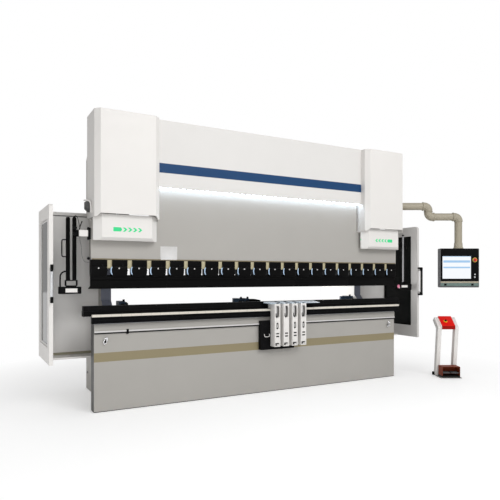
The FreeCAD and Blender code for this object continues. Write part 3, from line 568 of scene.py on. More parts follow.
def inward(base, over):
    """Return a colour that changes on the faces that look towards the machine's middle."""
    return lambda tree: blend(tree, place_effect(tree, "inner faces", Reach=1.5)["Mask"],
                              ready(tree, base), ready(tree, over))


def lined(base, over, spacing, width):
    """Return a colour crossed by thin joint lines."""
    return lambda tree: blend(tree, place_effect(tree, "joint lines", Spacing=spacing, Width=width)["Mask"],
                              ready(tree, base), ready(tree, over))


def glow(name, colour, strength):
    """Lit surface behind a diffuser, a little uneven; on the pink lens the glow is painted light, as the lens
    is no lamp.
    """
    tree, shader = start_finish(name)
    drift = place_effect(tree, "tone drift", Colour=rgba(colour), Scale=60.0, Amount=0.02)
    shader.inputs["Base Color"].default_value = (0.02, 0.02, 0.02, 1)
    tree.links.new(drift["Colour"], shader.inputs["Emission Color"])
    shader.inputs["Emission Strength"].default_value = strength
    skin = place_effect(tree, "surface grain", Scale=300.0, Low=0.2, High=0.35)
    tree.links.new(skin["Roughness"], shader.inputs["Roughness"])


def make_finishes(colours):
    """Build every material of the machine."""
    bare, scuffed, near_black = (0.25, 0.24, 0.22), (0.28, 0.2, 0.18), (0.10, 0.10, 0.10)
    along, upright = (3, 260, 260), (260, 260, 6)
    sheet = {"grain": 700.0, "relief": 0.05}
    rolled = {"grain": 500.0, "relief": 0.06, "tone": 0.02, "worn": bare, "wear": 0.3}
    red_coat = {"grain": 500.0, "relief": 0.06, "tone": 0.03, "scale": 6.0, "worn": scuffed}
    tooled = {"relief": 0.05, "tone": 0.03, "streaks": along}
    plastic = {"grain": 900.0, "tone": 0.03}
    paint("white powder coat", colours.cover, 0.42, 0.55, tone=0.012, **sheet)
    paint("light panel coat", (0.80, 0.785, 0.765), 0.42, 0.55, tone=0.012, **sheet)
    # The right door gets a darker copy of the doors' white coat: painted shade for a face that lies in
    # shadow.
    paint("shaded door coat", (0.60, 0.585, 0.57), 0.36, 0.5, tone=0.03, **sheet)
    paint("front panel coat", zoned((0.70, 0.685, 0.665), colours.stripe, 2.378, 2.476), 0.46, 0.58,
        gloss=0.25, tone=0.012, **sheet)
    paint("machine paint", colours.machine, 0.38, 0.55, **rolled)
    # Frame paint: the dark blue-grey on the front faces is painted shade on the throat edges, and the cover
    # white on the faces that look towards the middle is painted light on their shaded inner side.
    shaded_fronts = faced(colours.machine, (0.19, 0.205, 0.26), "Front")
    paint("frame paint", inward(shaded_fronts, colours.cover), 0.38, 0.55, **rolled)
    banded = zoned(colours.machine, colours.band, 0.488, 0.577)
    # Bed paint: the near black below 7 mm is a painted contact shadow along the foot, and the near black on
    # the side faces is painted shade; the tan band is the bed's own paint.
    foot_shadowed = zoned(banded, (0.03, 0.03, 0.03), -1.0, 0.007)
    paint("bed paint", faced(foot_shadowed, near_black, "Side"), 0.38, 0.55, **rolled)
    paint("blackened steel", colours.tool, 0.36, 0.5, gloss=0.04, scale=9.0, worn=(0.05, 0.05, 0.053),
        **tooled)
    paint("tool steel segments", lined(colours.tool, (0.016, 0.016, 0.018), 0.4, 0.003), 0.3, 0.45,
        gloss=0.06, scale=9.0, worn=(0.06, 0.06, 0.065), **tooled)
    paint("ground steel", (0.42, 0.42, 0.43), 0.22, 0.42, metal=1.0, relief=0.06, tone=0.03, streaks=along)
    paint("hard chrome", (0.78, 0.78, 0.80), 0.06, 0.16, metal=1.0, tone=0.02, streaks=upright)
    paint("satin rod", (0.34, 0.34, 0.35), 0.3, 0.45, metal=0.3, relief=0.03, tone=0.02, streaks=upright)
    paint("black anodised rail", (0.0036, 0.0036, 0.0044), 0.36, 0.5, gloss=0.05, worn=(0.06, 0.06, 0.06),
        wear=0.4, **tooled)
    paint("cream strip", lined((0.66, 0.62, 0.55), (0.18, 0.17, 0.15), 0.1, 0.0015), 0.35, 0.5, tone=0.03)
    paint("brown edge strip", (0.20, 0.165, 0.10), 0.4, 0.55, gloss=0.2, scale=12.0, streaks=along)
    paint("tan key brass", (0.47, 0.42, 0.27), 0.34, 0.5, scale=30.0, worn=(0.62, 0.56, 0.38), wear=0.6,
        streaks=(60, 260, 260))
    # The olive strip is partly the tan band's own colour and partly painted shade under the rear guards.
    paint("shaded olive strip", (0.30, 0.28, 0.20), 0.4, 0.55, grain=500.0, tone=0.03)
    paint("blued lever", (0.46, 0.62, 0.82), 0.25, 0.4, scale=30.0, worn=(0.5, 0.55, 0.65))
    paint("arm paint", colours.arm, 0.36, 0.52, grain=550.0, relief=0.06, tone=0.02, worn=(0.35, 0.33, 0.28),
        wear=0.3)
    paint("silver frame", (0.55, 0.56, 0.57), 0.28, 0.42, metal=0.8, tone=0.02, streaks=(260, 260, 4))
    paint("pendant housing", zoned((0.15, 0.15, 0.155), colours.arm, 1.6935, 1.8), 0.38, 0.52, gloss=0.25,
        grain=600.0, relief=0.06, tone=0.02, worn=bare, wear=0.3)
    paint("pale teal band", zoned((0.13, 0.19, 0.175), (0.055, 0.07, 0.066), 1.18, 1.194), 0.4, 0.55,
        grain=600.0, tone=0.03)
    paint("black bezel", (0.0032, 0.0032, 0.0036), 0.3, 0.42, gloss=0.06, relief=0.06, **plastic)
    # Stand red paint: the darker red band from 0.6 to 0.6725 m on the head's front lip is painted shade.
    paint("stand red paint", zoned(colours.red, (0.33, 0.006, 0.003), 0.6, 0.6725), 0.34, 0.5, gloss=0.08,
        wear=0.3, **red_coat)
    # Stand base paint: the dark red of the box is painted shade, and the black band from 8.5 to 31 mm over
    # the front lip and the floor inside is painted shade of the box's interior; the grey base plate edge
    # below is its own colour.
    low = zoned((0.20, 0.032, 0.008), (0.012, 0.012, 0.012), 0.0085, 0.031)
    paint("stand base paint", zoned(low, (0.30, 0.29, 0.28), -1.0, 0.0085), 0.36, 0.5, gloss=0.1, wear=0.4,
        **red_coat)
    paint("signal red plastic", (0.55, 0.01, 0.008), 0.2, 0.32, coat=0.4, **plastic)
    paint("signal yellow plastic", (0.85, 0.5, 0.02), 0.28, 0.4, **plastic)
    paint("moulded black", (0.0046, 0.0046, 0.005), 0.42, 0.6, gloss=0.05, grain=800.0, relief=0.15,
        tone=0.03)
    paint("black rubber", (0.0044, 0.0044, 0.0044), 0.6, 0.8, gloss=0.04, grain=500.0, relief=0.25)
    paint("tinted glass", (0.006, 0.007, 0.007), 0.03, 0.09, coat=0.05, gloss=0.12, grain=60.0, relief=0.01,
        tone=0.02)
    paint("blue machine enamel", (0.012, 0.036, 0.075), 0.32, 0.48, grain=500.0, relief=0.08, tone=0.03,
        worn=(0.08, 0.10, 0.14))
    paint("pedal rubber", (0.09, 0.09, 0.095), 0.5, 0.65, gloss=0.2, grain=600.0, relief=0.15)
    # The pale blue tint of the support top plates is a painted reflection on their steel.
    paint("polished plate", (0.66, 0.76, 0.85), 0.16, 0.3, metal=0.6, relief=0.03, tone=0.02, streaks=along)
    paint("dark cable", near_black, 0.5, 0.65, **plastic)
    paint("grey label plastic", (0.62, 0.61, 0.60), 0.35, 0.5, scale=40.0, **plastic)
    glow("lamp diffuser", (0.74, 0.86, 1.0), 11.0)
    glow("lamp dash", (0.45, 0.55, 0.66), 0.55)
    glow("running light", colours.arrow, 1.0)
    glow("screen light", (0.93, 0.96, 1.0), 0.96)
    glow("screen blue", (0.38, 0.62, 0.90), 0.9)
    # The pink lens glows though it is no lamp: its glow is painted light.
    glow("pink lens", (0.80, 0.22, 0.36), 0.75)


# Finish of each CAD node: those that aren't listed get the machine's paint
FINISH_NODES = {
    "bed paint": "bed_plate", "ground steel": "crowning_bed gauge_guides gauge_shoes gauge_beam",
    "blackened steel": "die_holder laser_mounts", "tool steel segments": "v_die",
    "black anodised rail": "front_rail", "cream strip": "rail_strip", "frame paint": "left_frame right_frame",
    "white powder coat": "left_cylinder_cover right_cylinder_cover light_covers electrical_cabinet left_door",
    "front panel coat": "front_fascia", "lamp diffuser": "lamp_strip",
    "light panel coat": "left_rear_guard right_rear_guard", "arm paint": "arm_flange",
    "moulded black": "support_rest sender_lead", "stand base paint": "stand_base",
    "hard chrome": "piston_rods", "satin rod": "right_laser_rod", "shaded door coat": "right_door",
    "tinted glass": "left_door_window right_door_window", "pendant housing": "pendant",
    "screen light": "pendant_screen",
}
NODE_FINISH = {node: finish for finish, nodes in FINISH_NODES.items() for node in nodes.split()}
# Rounding of the CAD nodes' edges, in millimetres
ROUNDED_NODES = {
    0.8: "v_die", 1: "crowning_bed die_holder front_rail rail_strip gauge_shoes",
    1.5: "front_fascia stand_base", 1.8: "left_cylinder_cover right_cylinder_cover", 4: "electrical_cabinet",
    2: "left_rear_guard right_rear_guard arm_flange laser_mounts pendant gauge_guides gauge_beam",
    3: "bed_plate left_frame right_frame oil_tank light_covers ram support_rest left_door right_door",
}
ROUNDED = {node: width / 1000 for width, nodes in ROUNDED_NODES.items() for node in nodes.split()}


class BRAKE_OT_finishes(bpy.types.Operator):
    """Build the finishes and give them to the CAD nodes, with rounded edges"""
    bl_idname = "brake.finishes"
    bl_label = "Finishes"

    def execute(self, context):
        for make in (make_tone, make_grain, make_wear, make_streaks, make_inner, make_facing, make_zone,
                     make_joints):
            make()
        make_finishes(context.scene.brake_colours)
        for node, item in frame["nodes"].items():
            item.data.materials.clear()
            item.data.materials.append(bpy.data.materials[NODE_FINISH.get(node, "machine paint")])
            if node in ROUNDED:
                take(item)
                bpy.ops.object.modifier_add(type="WELD")
                item.modifiers[-1].merge_threshold = 0.00005
                add_rounding(item, ROUNDED[node], 2, 30)
        return {"FINISHED"}


# Ram and tooling
def make_clamp(sizes, low, high):
    """One clamp: stepped block with a slot across its face, a screw and a stop pin."""
    left, right = low.x, low.x + sizes.clamp_width
    body = block("clamp_row", (left, low.y, low.z + 0.034), (right, high.y, high.z - 0.001))
    extrude(body, DOWN, (0, 0.004, -0.022), (0.96, 0.93, 1))
    extrude(body, DOWN, (0, 0, -0.012))
    groove = block("groove", (left - 0.01, low.y - 0.01, low.z + 0.094),
        (right + 0.01, low.y + 0.004, low.z + 0.098))
    carve(body, groove)
    soften(body, 0.0022)
    screw = turned("screw", (left + 0.104, low.y + 0.001, low.z + 0.112),
        [(0.0, 0.008), (-0.006, 0.008), (-0.007, 0.007), (-0.007, 0.004), (-0.003, 0.0035)], "Y", 12)
    pin = turned("pin", (right - 0.002, low.y + 0.03, low.z + 0.062),
        [(0, 0.006), (0.012, 0.006), (0.014, 0.004)], "X", 12)
    return dress(join("clamp_row", [body, screw, pin]), "ram_group", "blackened steel")


class BRAKE_OT_clamps(bpy.types.Operator):
    """Row of tool clamps with their levers, screws and keys"""
    bl_idname = "brake.clamps"
    bl_label = "Clamp row"

    def execute(self, context):
        sizes = context.scene.brake_sizes
        low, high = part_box("clamps")
        count = round((high.x - low.x - sizes.clamp_width) / sizes.clamp_pitch) + 1
        pace = (sizes.clamp_pitch, 0, 0)
        clamp = copies(make_clamp(sizes, low, high), pace, count)
        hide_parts("clamps")
        screw = turned("clamp_screw_row", (low.x + 0.066, low.y + 0.001, low.z + 0.082),
            [(0, 0.0075), (-0.004, 0.0075), (-0.005, 0.0065), (-0.005, 0.003), (-0.003, 0.0025)], "Y", 12)
        dress(copies(screw, pace, count), "ram_group", "grey label plastic")
        side, face = low.x + sizes.clamp_pitch, low.y
        lever = bar("lever_row", (side, face, low.z), [(0.002, 0.012, 0.094), (-0.008, 0.004, 0.088),
            (-0.014, 0.001, 0.072), (-0.014, 0.001, 0.046), (-0.008, 0.004, 0.028), (0.002, 0.012, 0.023)],
            0.006, 8)
        dress(copies(lever, pace, count - 1), "ram_group", "blued lever")
        low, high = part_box("clamp_keys")
        key = block("key_row", (low.x - 0.0045, low.y, low.z + 0.018),
            (low.x + 0.0445, high.y, high.z - 0.002))
        extrude(key, DOWN, (0, 0, -0.003), (0.6, 0.8, 1))
        extrude(key, DOWN, (0, 0, -0.045))
        inset(key, lambda at, out: out.y < -0.9 and at.z > low.z + 0.018, 0.006, 0.0015)
        soften(key, 0.0015)
        dress(copies(key, pace, count - 1), "ram_group", "tan key brass")
        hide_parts("clamp_keys")
        return {"FINISHED"}


class BRAKE_OT_ram(bpy.types.Operator):
    """Punch row with its tang, edge strip and bare plate on the ram"""
    bl_idname = "brake.ram"
    bl_label = "Ram and punch"

    def execute(self, context):
        low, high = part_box("punch")
        punch = block("punch_row", (low.x, low.y, high.z - 0.026), (low.x + 0.7985, high.y, high.z))
        inset(punch, UP, 0.002, 0)
        extrude(punch, lambda at, out: out.z > 0.9 and abs(at.x - low.x - 0.4) < 0.1, (0, 0.003, 0.016),
            (1, 0.6, 1))
        extrude(punch, DOWN, (0, 0.007, -0.018), (1, 0.66, 1))
        extrude(punch, DOWN, (0, 0, -0.047))
        extrude(punch, DOWN, (0, 0, low.z - high.z + 0.092), (1, 0.12, 1))
        soften(punch, context.scene.brake_sizes.tool_edge, 2, 25)
        copies(punch, (0.8, 0, 0), 5)
        shift(punch, lambda at, out: at.x < low.x + 0.0025 and at.z > low.z + 0.04, (0.022, 0, 0))
        shift(punch, lambda at, out: at.x > high.x - 0.0045 and at.z > low.z + 0.04, (-0.022, 0, 0))
        dress(punch, "ram_group", "blackened steel")
        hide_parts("punch")
        low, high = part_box("ram")
        strip = inset(block("ram_edge_strip", (low.x + 0.01, low.y - 0.003, low.z + 0.001),
            (high.x - 0.01, low.y, low.z + 0.012), 0.001), FRONT, 0.002, -0.0005)
        dress(strip, "ram_group", "brown edge strip")
        plate = inset(block("ram_plate", (-1.282, low.y - 0.002, 1.490), (-1.098, low.y, 1.631), 0.0008),
            FRONT, 0.006, -0.0006)
        dress(plate, "ram_group", "grey label plastic")
        return {"FINISHED"}


# Laser guard
def make_left_laser():
    """Slide columns with their yoke, bow handle and knobs, and the sender below."""
    low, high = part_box("left_laser_columns")
    wide = 0.035
    column = block("left_columns", (low.x, low.y, low.z + 0.061), (low.x + wide, high.y, high.z - 0.012),
        0.004)
    extrude(column, UP, (0, 0, 0.006), (0.75, 0.75, 1))
    inset(column, lambda at, out: abs(out.y) > 0.9 and abs(at.z - (low.z + high.z) / 2) < 0.2, 0.008, -0.003)
    copies(column, (high.x - low.x - wide, 0, 0), 2)
    yoke = block("yoke", (low.x - 0.010, low.y, low.z), (high.x + 0.010, high.y, low.z + 0.064))
    shift(yoke, DOWN, (0, 0, 0.012))
    extrude(yoke, DOWN, (0, 0, -0.012), (0.8, 1, 1))
    hole = block("hole", (low.x + 0.002, low.y - 0.01, low.z + 0.012),
        (high.x - 0.002, high.y + 0.01, low.z + 0.055))
    carve(yoke, hole)
    soften(yoke, 0.003)
    cap = turned("cap", (high.x - wide / 2, 0, high.z - 0.013), [(0, 0.012), (0.009, 0.012), (0.013, 0.006)],
        "Z", 20)
    columns = join("left_columns", [column, yoke, cap])
    dress(columns, "left_laser", "blackened steel")
    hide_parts("left_laser_columns")
    bow = bar("left_bow_handle", (low.x, 0, 0), [(0.004, 0, 1.672), (-0.022, 0, 1.672), (-0.037, 0, 1.668),
        (-0.038, 0, 1.640), (-0.038, 0, 1.541), (-0.037, 0, 1.513), (-0.022, 0, 1.509), (0.004, 0, 1.509)],
        0.0055)
    dress(bow, "left_laser", "moulded black")
    knobs = []
    for level in (1.725, 1.785):
        knobs.append(turned("left_slide_knobs", (high.x - wide / 2, low.y, level),
            [(0, 0.010), (-0.012, 0.010), (-0.014, 0.017), (-0.028, 0.017), (-0.031, 0.013)], "Y", 16))
    dress(join("left_slide_knobs", knobs), "left_laser", "moulded black")
    low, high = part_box("left_laser_sender")
    sender = inset(block("left_sender", low, high, 0.006, 3), EAST, 0.012, -0.004)
    inset(sender, BACK, 0.012, -0.002)
    dress(sender, "left_laser", "moulded black")
    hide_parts("left_laser_sender")
    plate = inset(block("left_sender_plate", (-2.213, low.y - 0.0015, 1.170),
        (-2.104, low.y + 0.003, 1.2076), 0.0008), FRONT, 0.003, -0.0006)
    dress(plate, "left_laser", "white powder coat")


def make_left_arm():
    """Case, bracket, lever and cables on the left mount arm."""
    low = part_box("laser_mounts")[0]
    case = inset(block("left_laser_case", (-2.091, low.y - 0.006, 1.704), (-2.0065, low.y + 0.014, 1.7675),
        0.004), FRONT, 0.006, -0.001)
    dress(case, "ram_group", "white powder coat")
    bracket = block("bracket", (-2.011, low.y - 0.004, 1.700), (-1.985, low.y + 0.03, 1.780))
    extrude(bracket, UP, (-0.004, 0, 0.016), (0.6, 0.8, 1))
    extrude(bracket, DOWN, (0.002, 0, -0.017), (1.1, 0.9, 1))
    soften(bracket, 0.002)
    lever = bar("lever", (0, low.y, 0), [(-2.0845, 0.01, 1.760), (-2.0845, -0.004, 1.788),
        (-2.076, -0.005, 1.815), (-2.063, -0.005, 1.850)], 0.005, 8)
    knob = turned("knob", (-2.004, low.y + 0.004, 1.495), [(0, 0.010), (-0.008, 0.010), (-0.010, 0.0145),
        (-0.020, 0.0145), (-0.023, 0.011)], "Y", 16)
    arch = bar("cable", (0, 0, 0), [(-2.125, 0.002, 1.889), (-2.124, -0.004, 1.905), (-2.106, -0.024, 1.897),
        (-2.094, -0.038, 1.850), (-2.0845, low.y - 0.002, 1.792)], 0.0028, 8)
    black = join("left_arm_fittings", [bracket, lever, knob])
    dress(black, "ram_group", "moulded black")
    dress(arch, "left_laser", "black rubber")
    y = low.y - 0.002
    cable = bar("left_arm_cable", (0, y, 0), [(-2.084, 0, 1.7047), (-2.084, 0, 1.660), (-2.0694, 0, 1.618),
        (-2.068, 0, 1.543), (-2.057, 0, 1.494), (-2.042, 0, 1.462), (-2.010, 0, 1.457),
        (-1.990, 0.004, 1.458)], 0.0015, 8)
    dress(cable, "ram_group", "dark cable")


def make_right_laser():
    """Receiver with its lens, plate and clasp, and the cap on the rod."""
    low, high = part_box("right_laser_receiver")
    receiver = inset(block("right_receiver", low, high, 0.006, 3), WEST, 0.008, -0.003)
    inset(receiver, BACK, 0.012, -0.002)
    dress(receiver, "right_laser", "moulded black")
    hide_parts("right_laser_receiver")
    # Receiver lens with a glowing pink finish: painted light.
    lens = turned("right_lens", (low.x + 0.004, -0.008, 1.187), [(0, 0.023), (-0.005, 0.023),
        (-0.008, 0.020), (-0.0085, 0.016), (-0.006, 0.012)], "X", 28)
    dress(lens, "right_laser", "pink lens")
    label = inset(block("right_receiver_plate", (2.092, low.y - 0.0015, 1.172),
        (2.200, low.y + 0.003, 1.202), 0.0008), FRONT, 0.003, -0.0005)
    corner = slab("corner", (low.x, low.y, 0), (-0.0015, 0.004), (0.004, 0.016), (1.160, 1.176), width=0.0008)
    dress(join("right_receiver_plate", [label, corner]), "right_laser", "white powder coat")
    rod_low, rod_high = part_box("right_laser_rod")
    middle = (rod_low.x + rod_high.x) / 2
    cap = turned("cap", (middle, 0, rod_high.z - 0.022), [(0, 0.0125), (0.001, 0.0145), (0.019, 0.0145),
        (0.022, 0.012)], "Z", 24)
    clasp = inset(block("clasp", (middle - 0.022, -0.024, high.z - 0.003),
        (middle + 0.022, 0.024, high.z + 0.03), 0.004, 3), FRONT, 0.006, 0.002)
    dress(join("right_rod_fittings", [cap, clasp]), "right_laser", "moulded black")
    low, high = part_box("laser_mounts")
    guide = inset(block("right_rod_guide", (middle - 0.051, low.y - 0.003, low.z + 0.002),
        (middle - 0.029, low.y + 0.001, high.z - 0.002), 0.0015), FRONT, 0.002, 0.0005)
    dress(guide, "ram_group", "satin rod")


class BRAKE_OT_lasers(bpy.types.Operator):
    """Sender and receiver of the laser guard with their columns, knobs and handle"""
    bl_idname = "brake.lasers"
    bl_label = "Laser guard"

    def execute(self, context):
        make_left_laser()
        make_left_arm()
        make_right_laser()
        return {"FINISHED"}


# Front panel, covers and lamps
def make_running_light(name, side, cover, face):
    """Row of lit arrows that point towards the machine's middle, behind a lit block."""
    low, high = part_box(cover)
    start = (low.x + high.x) / 2 - side * 0.139
    head = block(name, (min(start, start + side * 0.070), face - 0.002, 1.756),
        (max(start, start + side * 0.070), face + 0.002, 1.796))
    extrude(head, lambda at, out: out.x * side > 0.9, (side * 0.013, 0, 0), (1, 1, 0.3))
    bevel(head, 0.0008)
    pieces = [head]
    for k in range(4):
        middle = start + side * (0.124 + 0.0497 * k)
        for up in (1, -1):
            stroke = slab("stroke", (middle, face, 0), (-0.011, 0.011), (-0.002, 0.002), (1.776, 1.796))
            shift(stroke, UP, (-side * 0.023, 0, 0))
            if up < 0:
                stroke.location.z = 2 * 1.776
                stroke.scale.z = -1
                outward(settle(stroke))
            pieces.append(bevel(stroke, 0.0006))
    dress(join(name, pieces), "machine", "running light")


class BRAKE_OT_lamps(bpy.types.Operator):
    """Lamps under the front panel and the running lights on the covers"""
    bl_idname = "brake.lamps"
    bl_label = "Lamps"

    def execute(self, context):
        pitch = context.scene.brake_sizes.lamp_pitch
        low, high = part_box("lamp_strip")
        count = int((high.x - low.x) / pitch)
        first = (low.x + high.x) / 2 - pitch * (count - 1) / 2
        lens = turned("lamp_row", (first, (low.y + high.y) / 2, low.z + 0.001),
            [(0, 0.011), (-0.004, 0.011), (-0.008, 0.007)], "Z", 12)
        dress(copies(lens, (pitch, 0, 0), count), "machine", "lamp diffuser")
        dash = inset(block("lamp_dashes", (first + 0.018, low.y - 0.003, low.z - 0.004),
            (first + pitch - 0.018, low.y + 0.001, low.z + 0.004), 0.0012), FRONT, 0.001, -0.0004)
        dress(copies(dash, (pitch, 0, 0), count - 1), "machine", "lamp dash")
        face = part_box("light_covers")[0].y
        make_running_light("left_running_light", 1, "left_cylinder_cover", face)
        make_running_light("right_running_light", -1, "right_cylinder_cover", face)
        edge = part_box("right_cylinder_cover")[0].x + 0.004
        signal = turned("right_signal", (edge, -0.088, 1.787), [(0, 0.007), (-0.002, 0.007),
            (-0.0035, 0.005)], "X", 16)
        dress(signal, "machine", "running light")
        return {"FINISHED"}


class BRAKE_OT_panel_details(bpy.types.Operator):
    """Screws of the front panel, bolts of the frames, bead and eyes of the bed"""
    bl_idname = "brake.panel_details"
    bl_label = "Cover details"

    def execute(self, context):
        low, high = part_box("front_fascia")
        screws = [turned("fascia_screws", (x, low.y + 0.25, high.z - 0.0005),
            [(0, 0.006), (0.0012, 0.006), (0.0005, 0.0035)], "Z", 12)
            for x in (-1.25, -0.62, 0.0, 0.62, 1.25)]
        dress(join("fascia_screws", screws), "machine", "ground steel")
        bolts = []
        for side in (-1, 1):
            rings = [(0, 0.018), (side * 0.002, 0.018), (side * 0.002, 0.0125), (side * 0.011, 0.0125),
                     (side * 0.012, 0.011)]
            for z, near in ((2.4, 0.9), (2.1, 0.9), (0.5, 0.8), (0.2, 0.8)):
                bolts += [turned("frame_bolts", (side * 1.777, y, z), rings, "X", 6) for y in (near, 1.1)]
        dress(join("frame_bolts", bolts), "machine", "ground steel")
        low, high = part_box("bed_plate")
        # Pale bead along the ledge's edge: a real rod whose pale colour is partly a painted highlight.
        bead = inset(block("bed_bead", (low.x + 0.002, low.y - 0.008, 0.774), (high.x - 0.002, low.y, 0.791),
            0.004, 3), FRONT, 0.001, 0.0004)
        dress(bead, "machine", "grey label plastic")
        # Black strip under the bead: painted shadow beneath the ledge, joined with a real black clip.
        line = inset(block("bed_shadow_strip_and_clip", (low.x + 0.002, low.y - 0.006, 0.7615),
            (high.x - 0.002, low.y, 0.7715), 0.002), FRONT, 0.001, -0.0004)
        clip = block("clip", (-1.637, low.y - 0.012, 0.752), (-1.613, low.y, 0.799), 0.003)
        dress(join("bed_shadow_strip_and_clip", [line, clip]), "machine", "moulded black")
        eyes = []
        for x in (-1.84, 1.84):
            y = low.y - 0.016
            eyes.append(turned("bed_eyes", (x + 0.008, low.y + 0.004, 0.716),
                [(0, 0.010), (-0.006, 0.010), (-0.008, 0.007), (-0.022, 0.007), (-0.024, 0.009)], "Y", 20))
            eyes.append(bar("ring", (x, y, 0), [(0.010, 0, 0.729), (-0.006, 0, 0.722), (-0.020, 0, 0.694),
                (-0.023, 0, 0.668), (-0.011, 0, 0.661), (0.003, 0, 0.676), (0.015, 0, 0.706),
                (0.011, 0, 0.727)], 0.0046))
        dress(join("bed_eyes", eyes), "machine", "hard chrome")
        # Black discs behind the eye rings, set low and to the left: painted shade.
        backs = [turned("bed_eye_shade_discs", (x - 0.008, low.y + 0.001, 0.686),
            [(0, 0.013), (-0.003, 0.013), (-0.004, 0.010), (-0.003, 0.006)], "Y", 20) for x in (-1.84, 1.84)]
        dress(join("bed_eye_shade_discs", backs), "machine", "moulded black")
        low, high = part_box("left_cylinder_cover")
        hook = bar("guard_hook", (low.x, 0, 0), [(-0.006, -0.07, 1.935), (-0.008, -0.07, 2.000),
            (-0.014, -0.06, 2.040), (-0.030, -0.02, 2.060), (-0.052, 0.04, 2.062)], 0.0075)
        dress(hook, "machine", "white powder coat")
        foot = block("guard_hook_foot", (low.x - 0.036, 0.02, 1.985), (low.x + 0.002, 0.12, 2.054), 0.003)
        extrude(foot, DOWN, (0.012, -0.01, -0.032), (0.4, 0.5, 1))
        dress(foot, "machine", "dark cable")
        return {"FINISHED"}


# Sheet supports
def make_support(index):
    """One sheet support: upright with its opening, slot and slits, hook, knob and plates."""
    node, body = f"support_{index}", f"sheet_support_{index}"
    low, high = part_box(node)
    front, back, top = low.y + 0.01, high.y, high.z
    middle = (low.x + high.x) / 2
    spot = (middle, front, top)
    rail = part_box("front_rail")[0].y - 0.0003
    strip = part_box("rail_strip")[1].z + 0.005
    upright = block("support_bar", (low.x, front, low.z), (high.x, rail, top))
    head = block("head", (low.x, rail - 0.01, strip), (high.x, back, top))
    opening = slab("opening", spot, (-0.026, 0.026), (-0.01, 0.03), (-0.160, -0.023))
    bevel(opening, 0.020, 6, lambda a, b: abs(a.y - b.y) > 0.02)
    cutters = [opening]
    if index != 2:
        slot = slab("slot", spot, (-0.0145, 0.0145), (-0.01, 0.03), (-0.287, -0.211))
        cutters.append(bevel(slot, 0.014, 6, lambda a, b: abs(a.y - b.y) > 0.02))
    cutters.append(block("foot", (low.x + 0.008, front - 0.01, low.z + 0.010),
        (high.x - 0.011, front + 0.03, low.z + 0.042)))
    carve(upright, *cutters)
    soften(join(f"support_bar_{index}", [upright, head]), 0.0025)
    dress(upright, body, "white powder coat")
    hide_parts(node)
    lining = inset(slab(f"support_lining_{index}", spot, (-0.0255, 0.0255), (0.022, 0.027), (-0.159, -0.024),
        width=0.001), FRONT, 0.004, -0.001)
    if index != 2:
        tongue = slab("tongue", spot, (-0.0035, 0.0055), (0.006, 0.0135), (-0.268, -0.230), width=0.001)
        lining = join(f"support_lining_{index}", [lining, tongue])
    dress(lining, body, "grey label plastic")
    knob = turned("knob", (middle, front + 0.006, top + 0.0045), [(-0.003, 0.012), (0.0, 0.014),
        (0.0035, 0.014), (0.0045, 0.011)], "Z", 20)
    y = front + 0.010
    hook = bar("hook", (middle, y, top), [(0.012, 0.006, -0.028), (0.012, 0, -0.06), (0.012, 0, -0.115),
        (0.010, 0, -0.142), (-0.002, 0, -0.150), (-0.014, 0, -0.142), (-0.015, 0, -0.120),
        (-0.014, 0.002, -0.108)], 0.0052)
    slits = []
    if index != 2:
        slits.append(slab("slit", spot, (-0.0105, 0.0135), (0.012, 0.016), (-0.283, -0.215), width=0.0008))
    # The two short slits are black slabs on the face: painted shade standing for the dark inside of slots.
    slits += [slab("slit", (middle, front, top - drop), (-0.019, 0.019), (-0.0012, 0.002), (-0.0072, 0.0072),
        width=0.0008) for drop in (0.334, 0.366)]
    dress(join(f"support_hook_{index}", [knob, hook] + slits), body, "moulded black")
    plate = block(f"support_plate_{index}", (low.x + 0.036, front + 0.010, low.z + 0.009),
        (high.x - 0.013, front + 0.022, low.z + 0.027), 0.0008)
    recess = block(f"support_foot_{index}", (low.x + 0.009, front + 0.020, low.z + 0.011),
        (high.x - 0.012, front + 0.024, low.z + 0.041), 0.0008)
    dress(recess, body, "moulded black")
    dress(plate, body, "grey label plastic")
    west = low.x - SUPPORT_REACH["west"].get(index, SUPPORT_OVERLAP)
    east = high.x + SUPPORT_REACH["east"].get(index, SUPPORT_OVERLAP)
    # Top plate in polished plate, whose pale blue tint is a painted reflection.
    cap = block(f"support_top_{index}", (west, front - 0.002, top), (east, back - 0.002, top + 0.004))
    shift_edges(cap, lambda a, b: min(a.y, b.y) > back - 0.01 and min(a.z, b.z) > top + 0.002, (0, 0, 0.017))
    if index in (1, 4):
        outer = WEST if index == 1 else EAST
        extrude(cap, outer, (0.02 * (1 if index == 4 else -1), 0.02, 0), (1, 0.5, 0.6))
    dress(soften(cap, 0.001), body, "polished plate")


class BRAKE_OT_supports(bpy.types.Operator):
    """Four sheet supports with their openings, hooks, knobs and feet"""
    bl_idname = "brake.supports"
    bl_label = "Sheet supports"

    def execute(self, context):
        for index in range(1, 5):
            make_support(index)
        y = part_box("support_rest")[0].y
        ring = bar("rest_handle", (0, y, 0), [(-0.076, 0.003, 0.668), (-0.076, -0.006, 0.668),
            (-0.076, -0.008, 0.655), (-0.074, -0.008, 0.640), (-0.043, -0.008, 0.636),
            (-0.012, -0.008, 0.640), (-0.010, -0.008, 0.655), (-0.010, -0.006, 0.668),
            (-0.010, 0.003, 0.668)], 0.0035)
        dress(ring, "machine", "white powder coat")
        return {"FINISHED"}


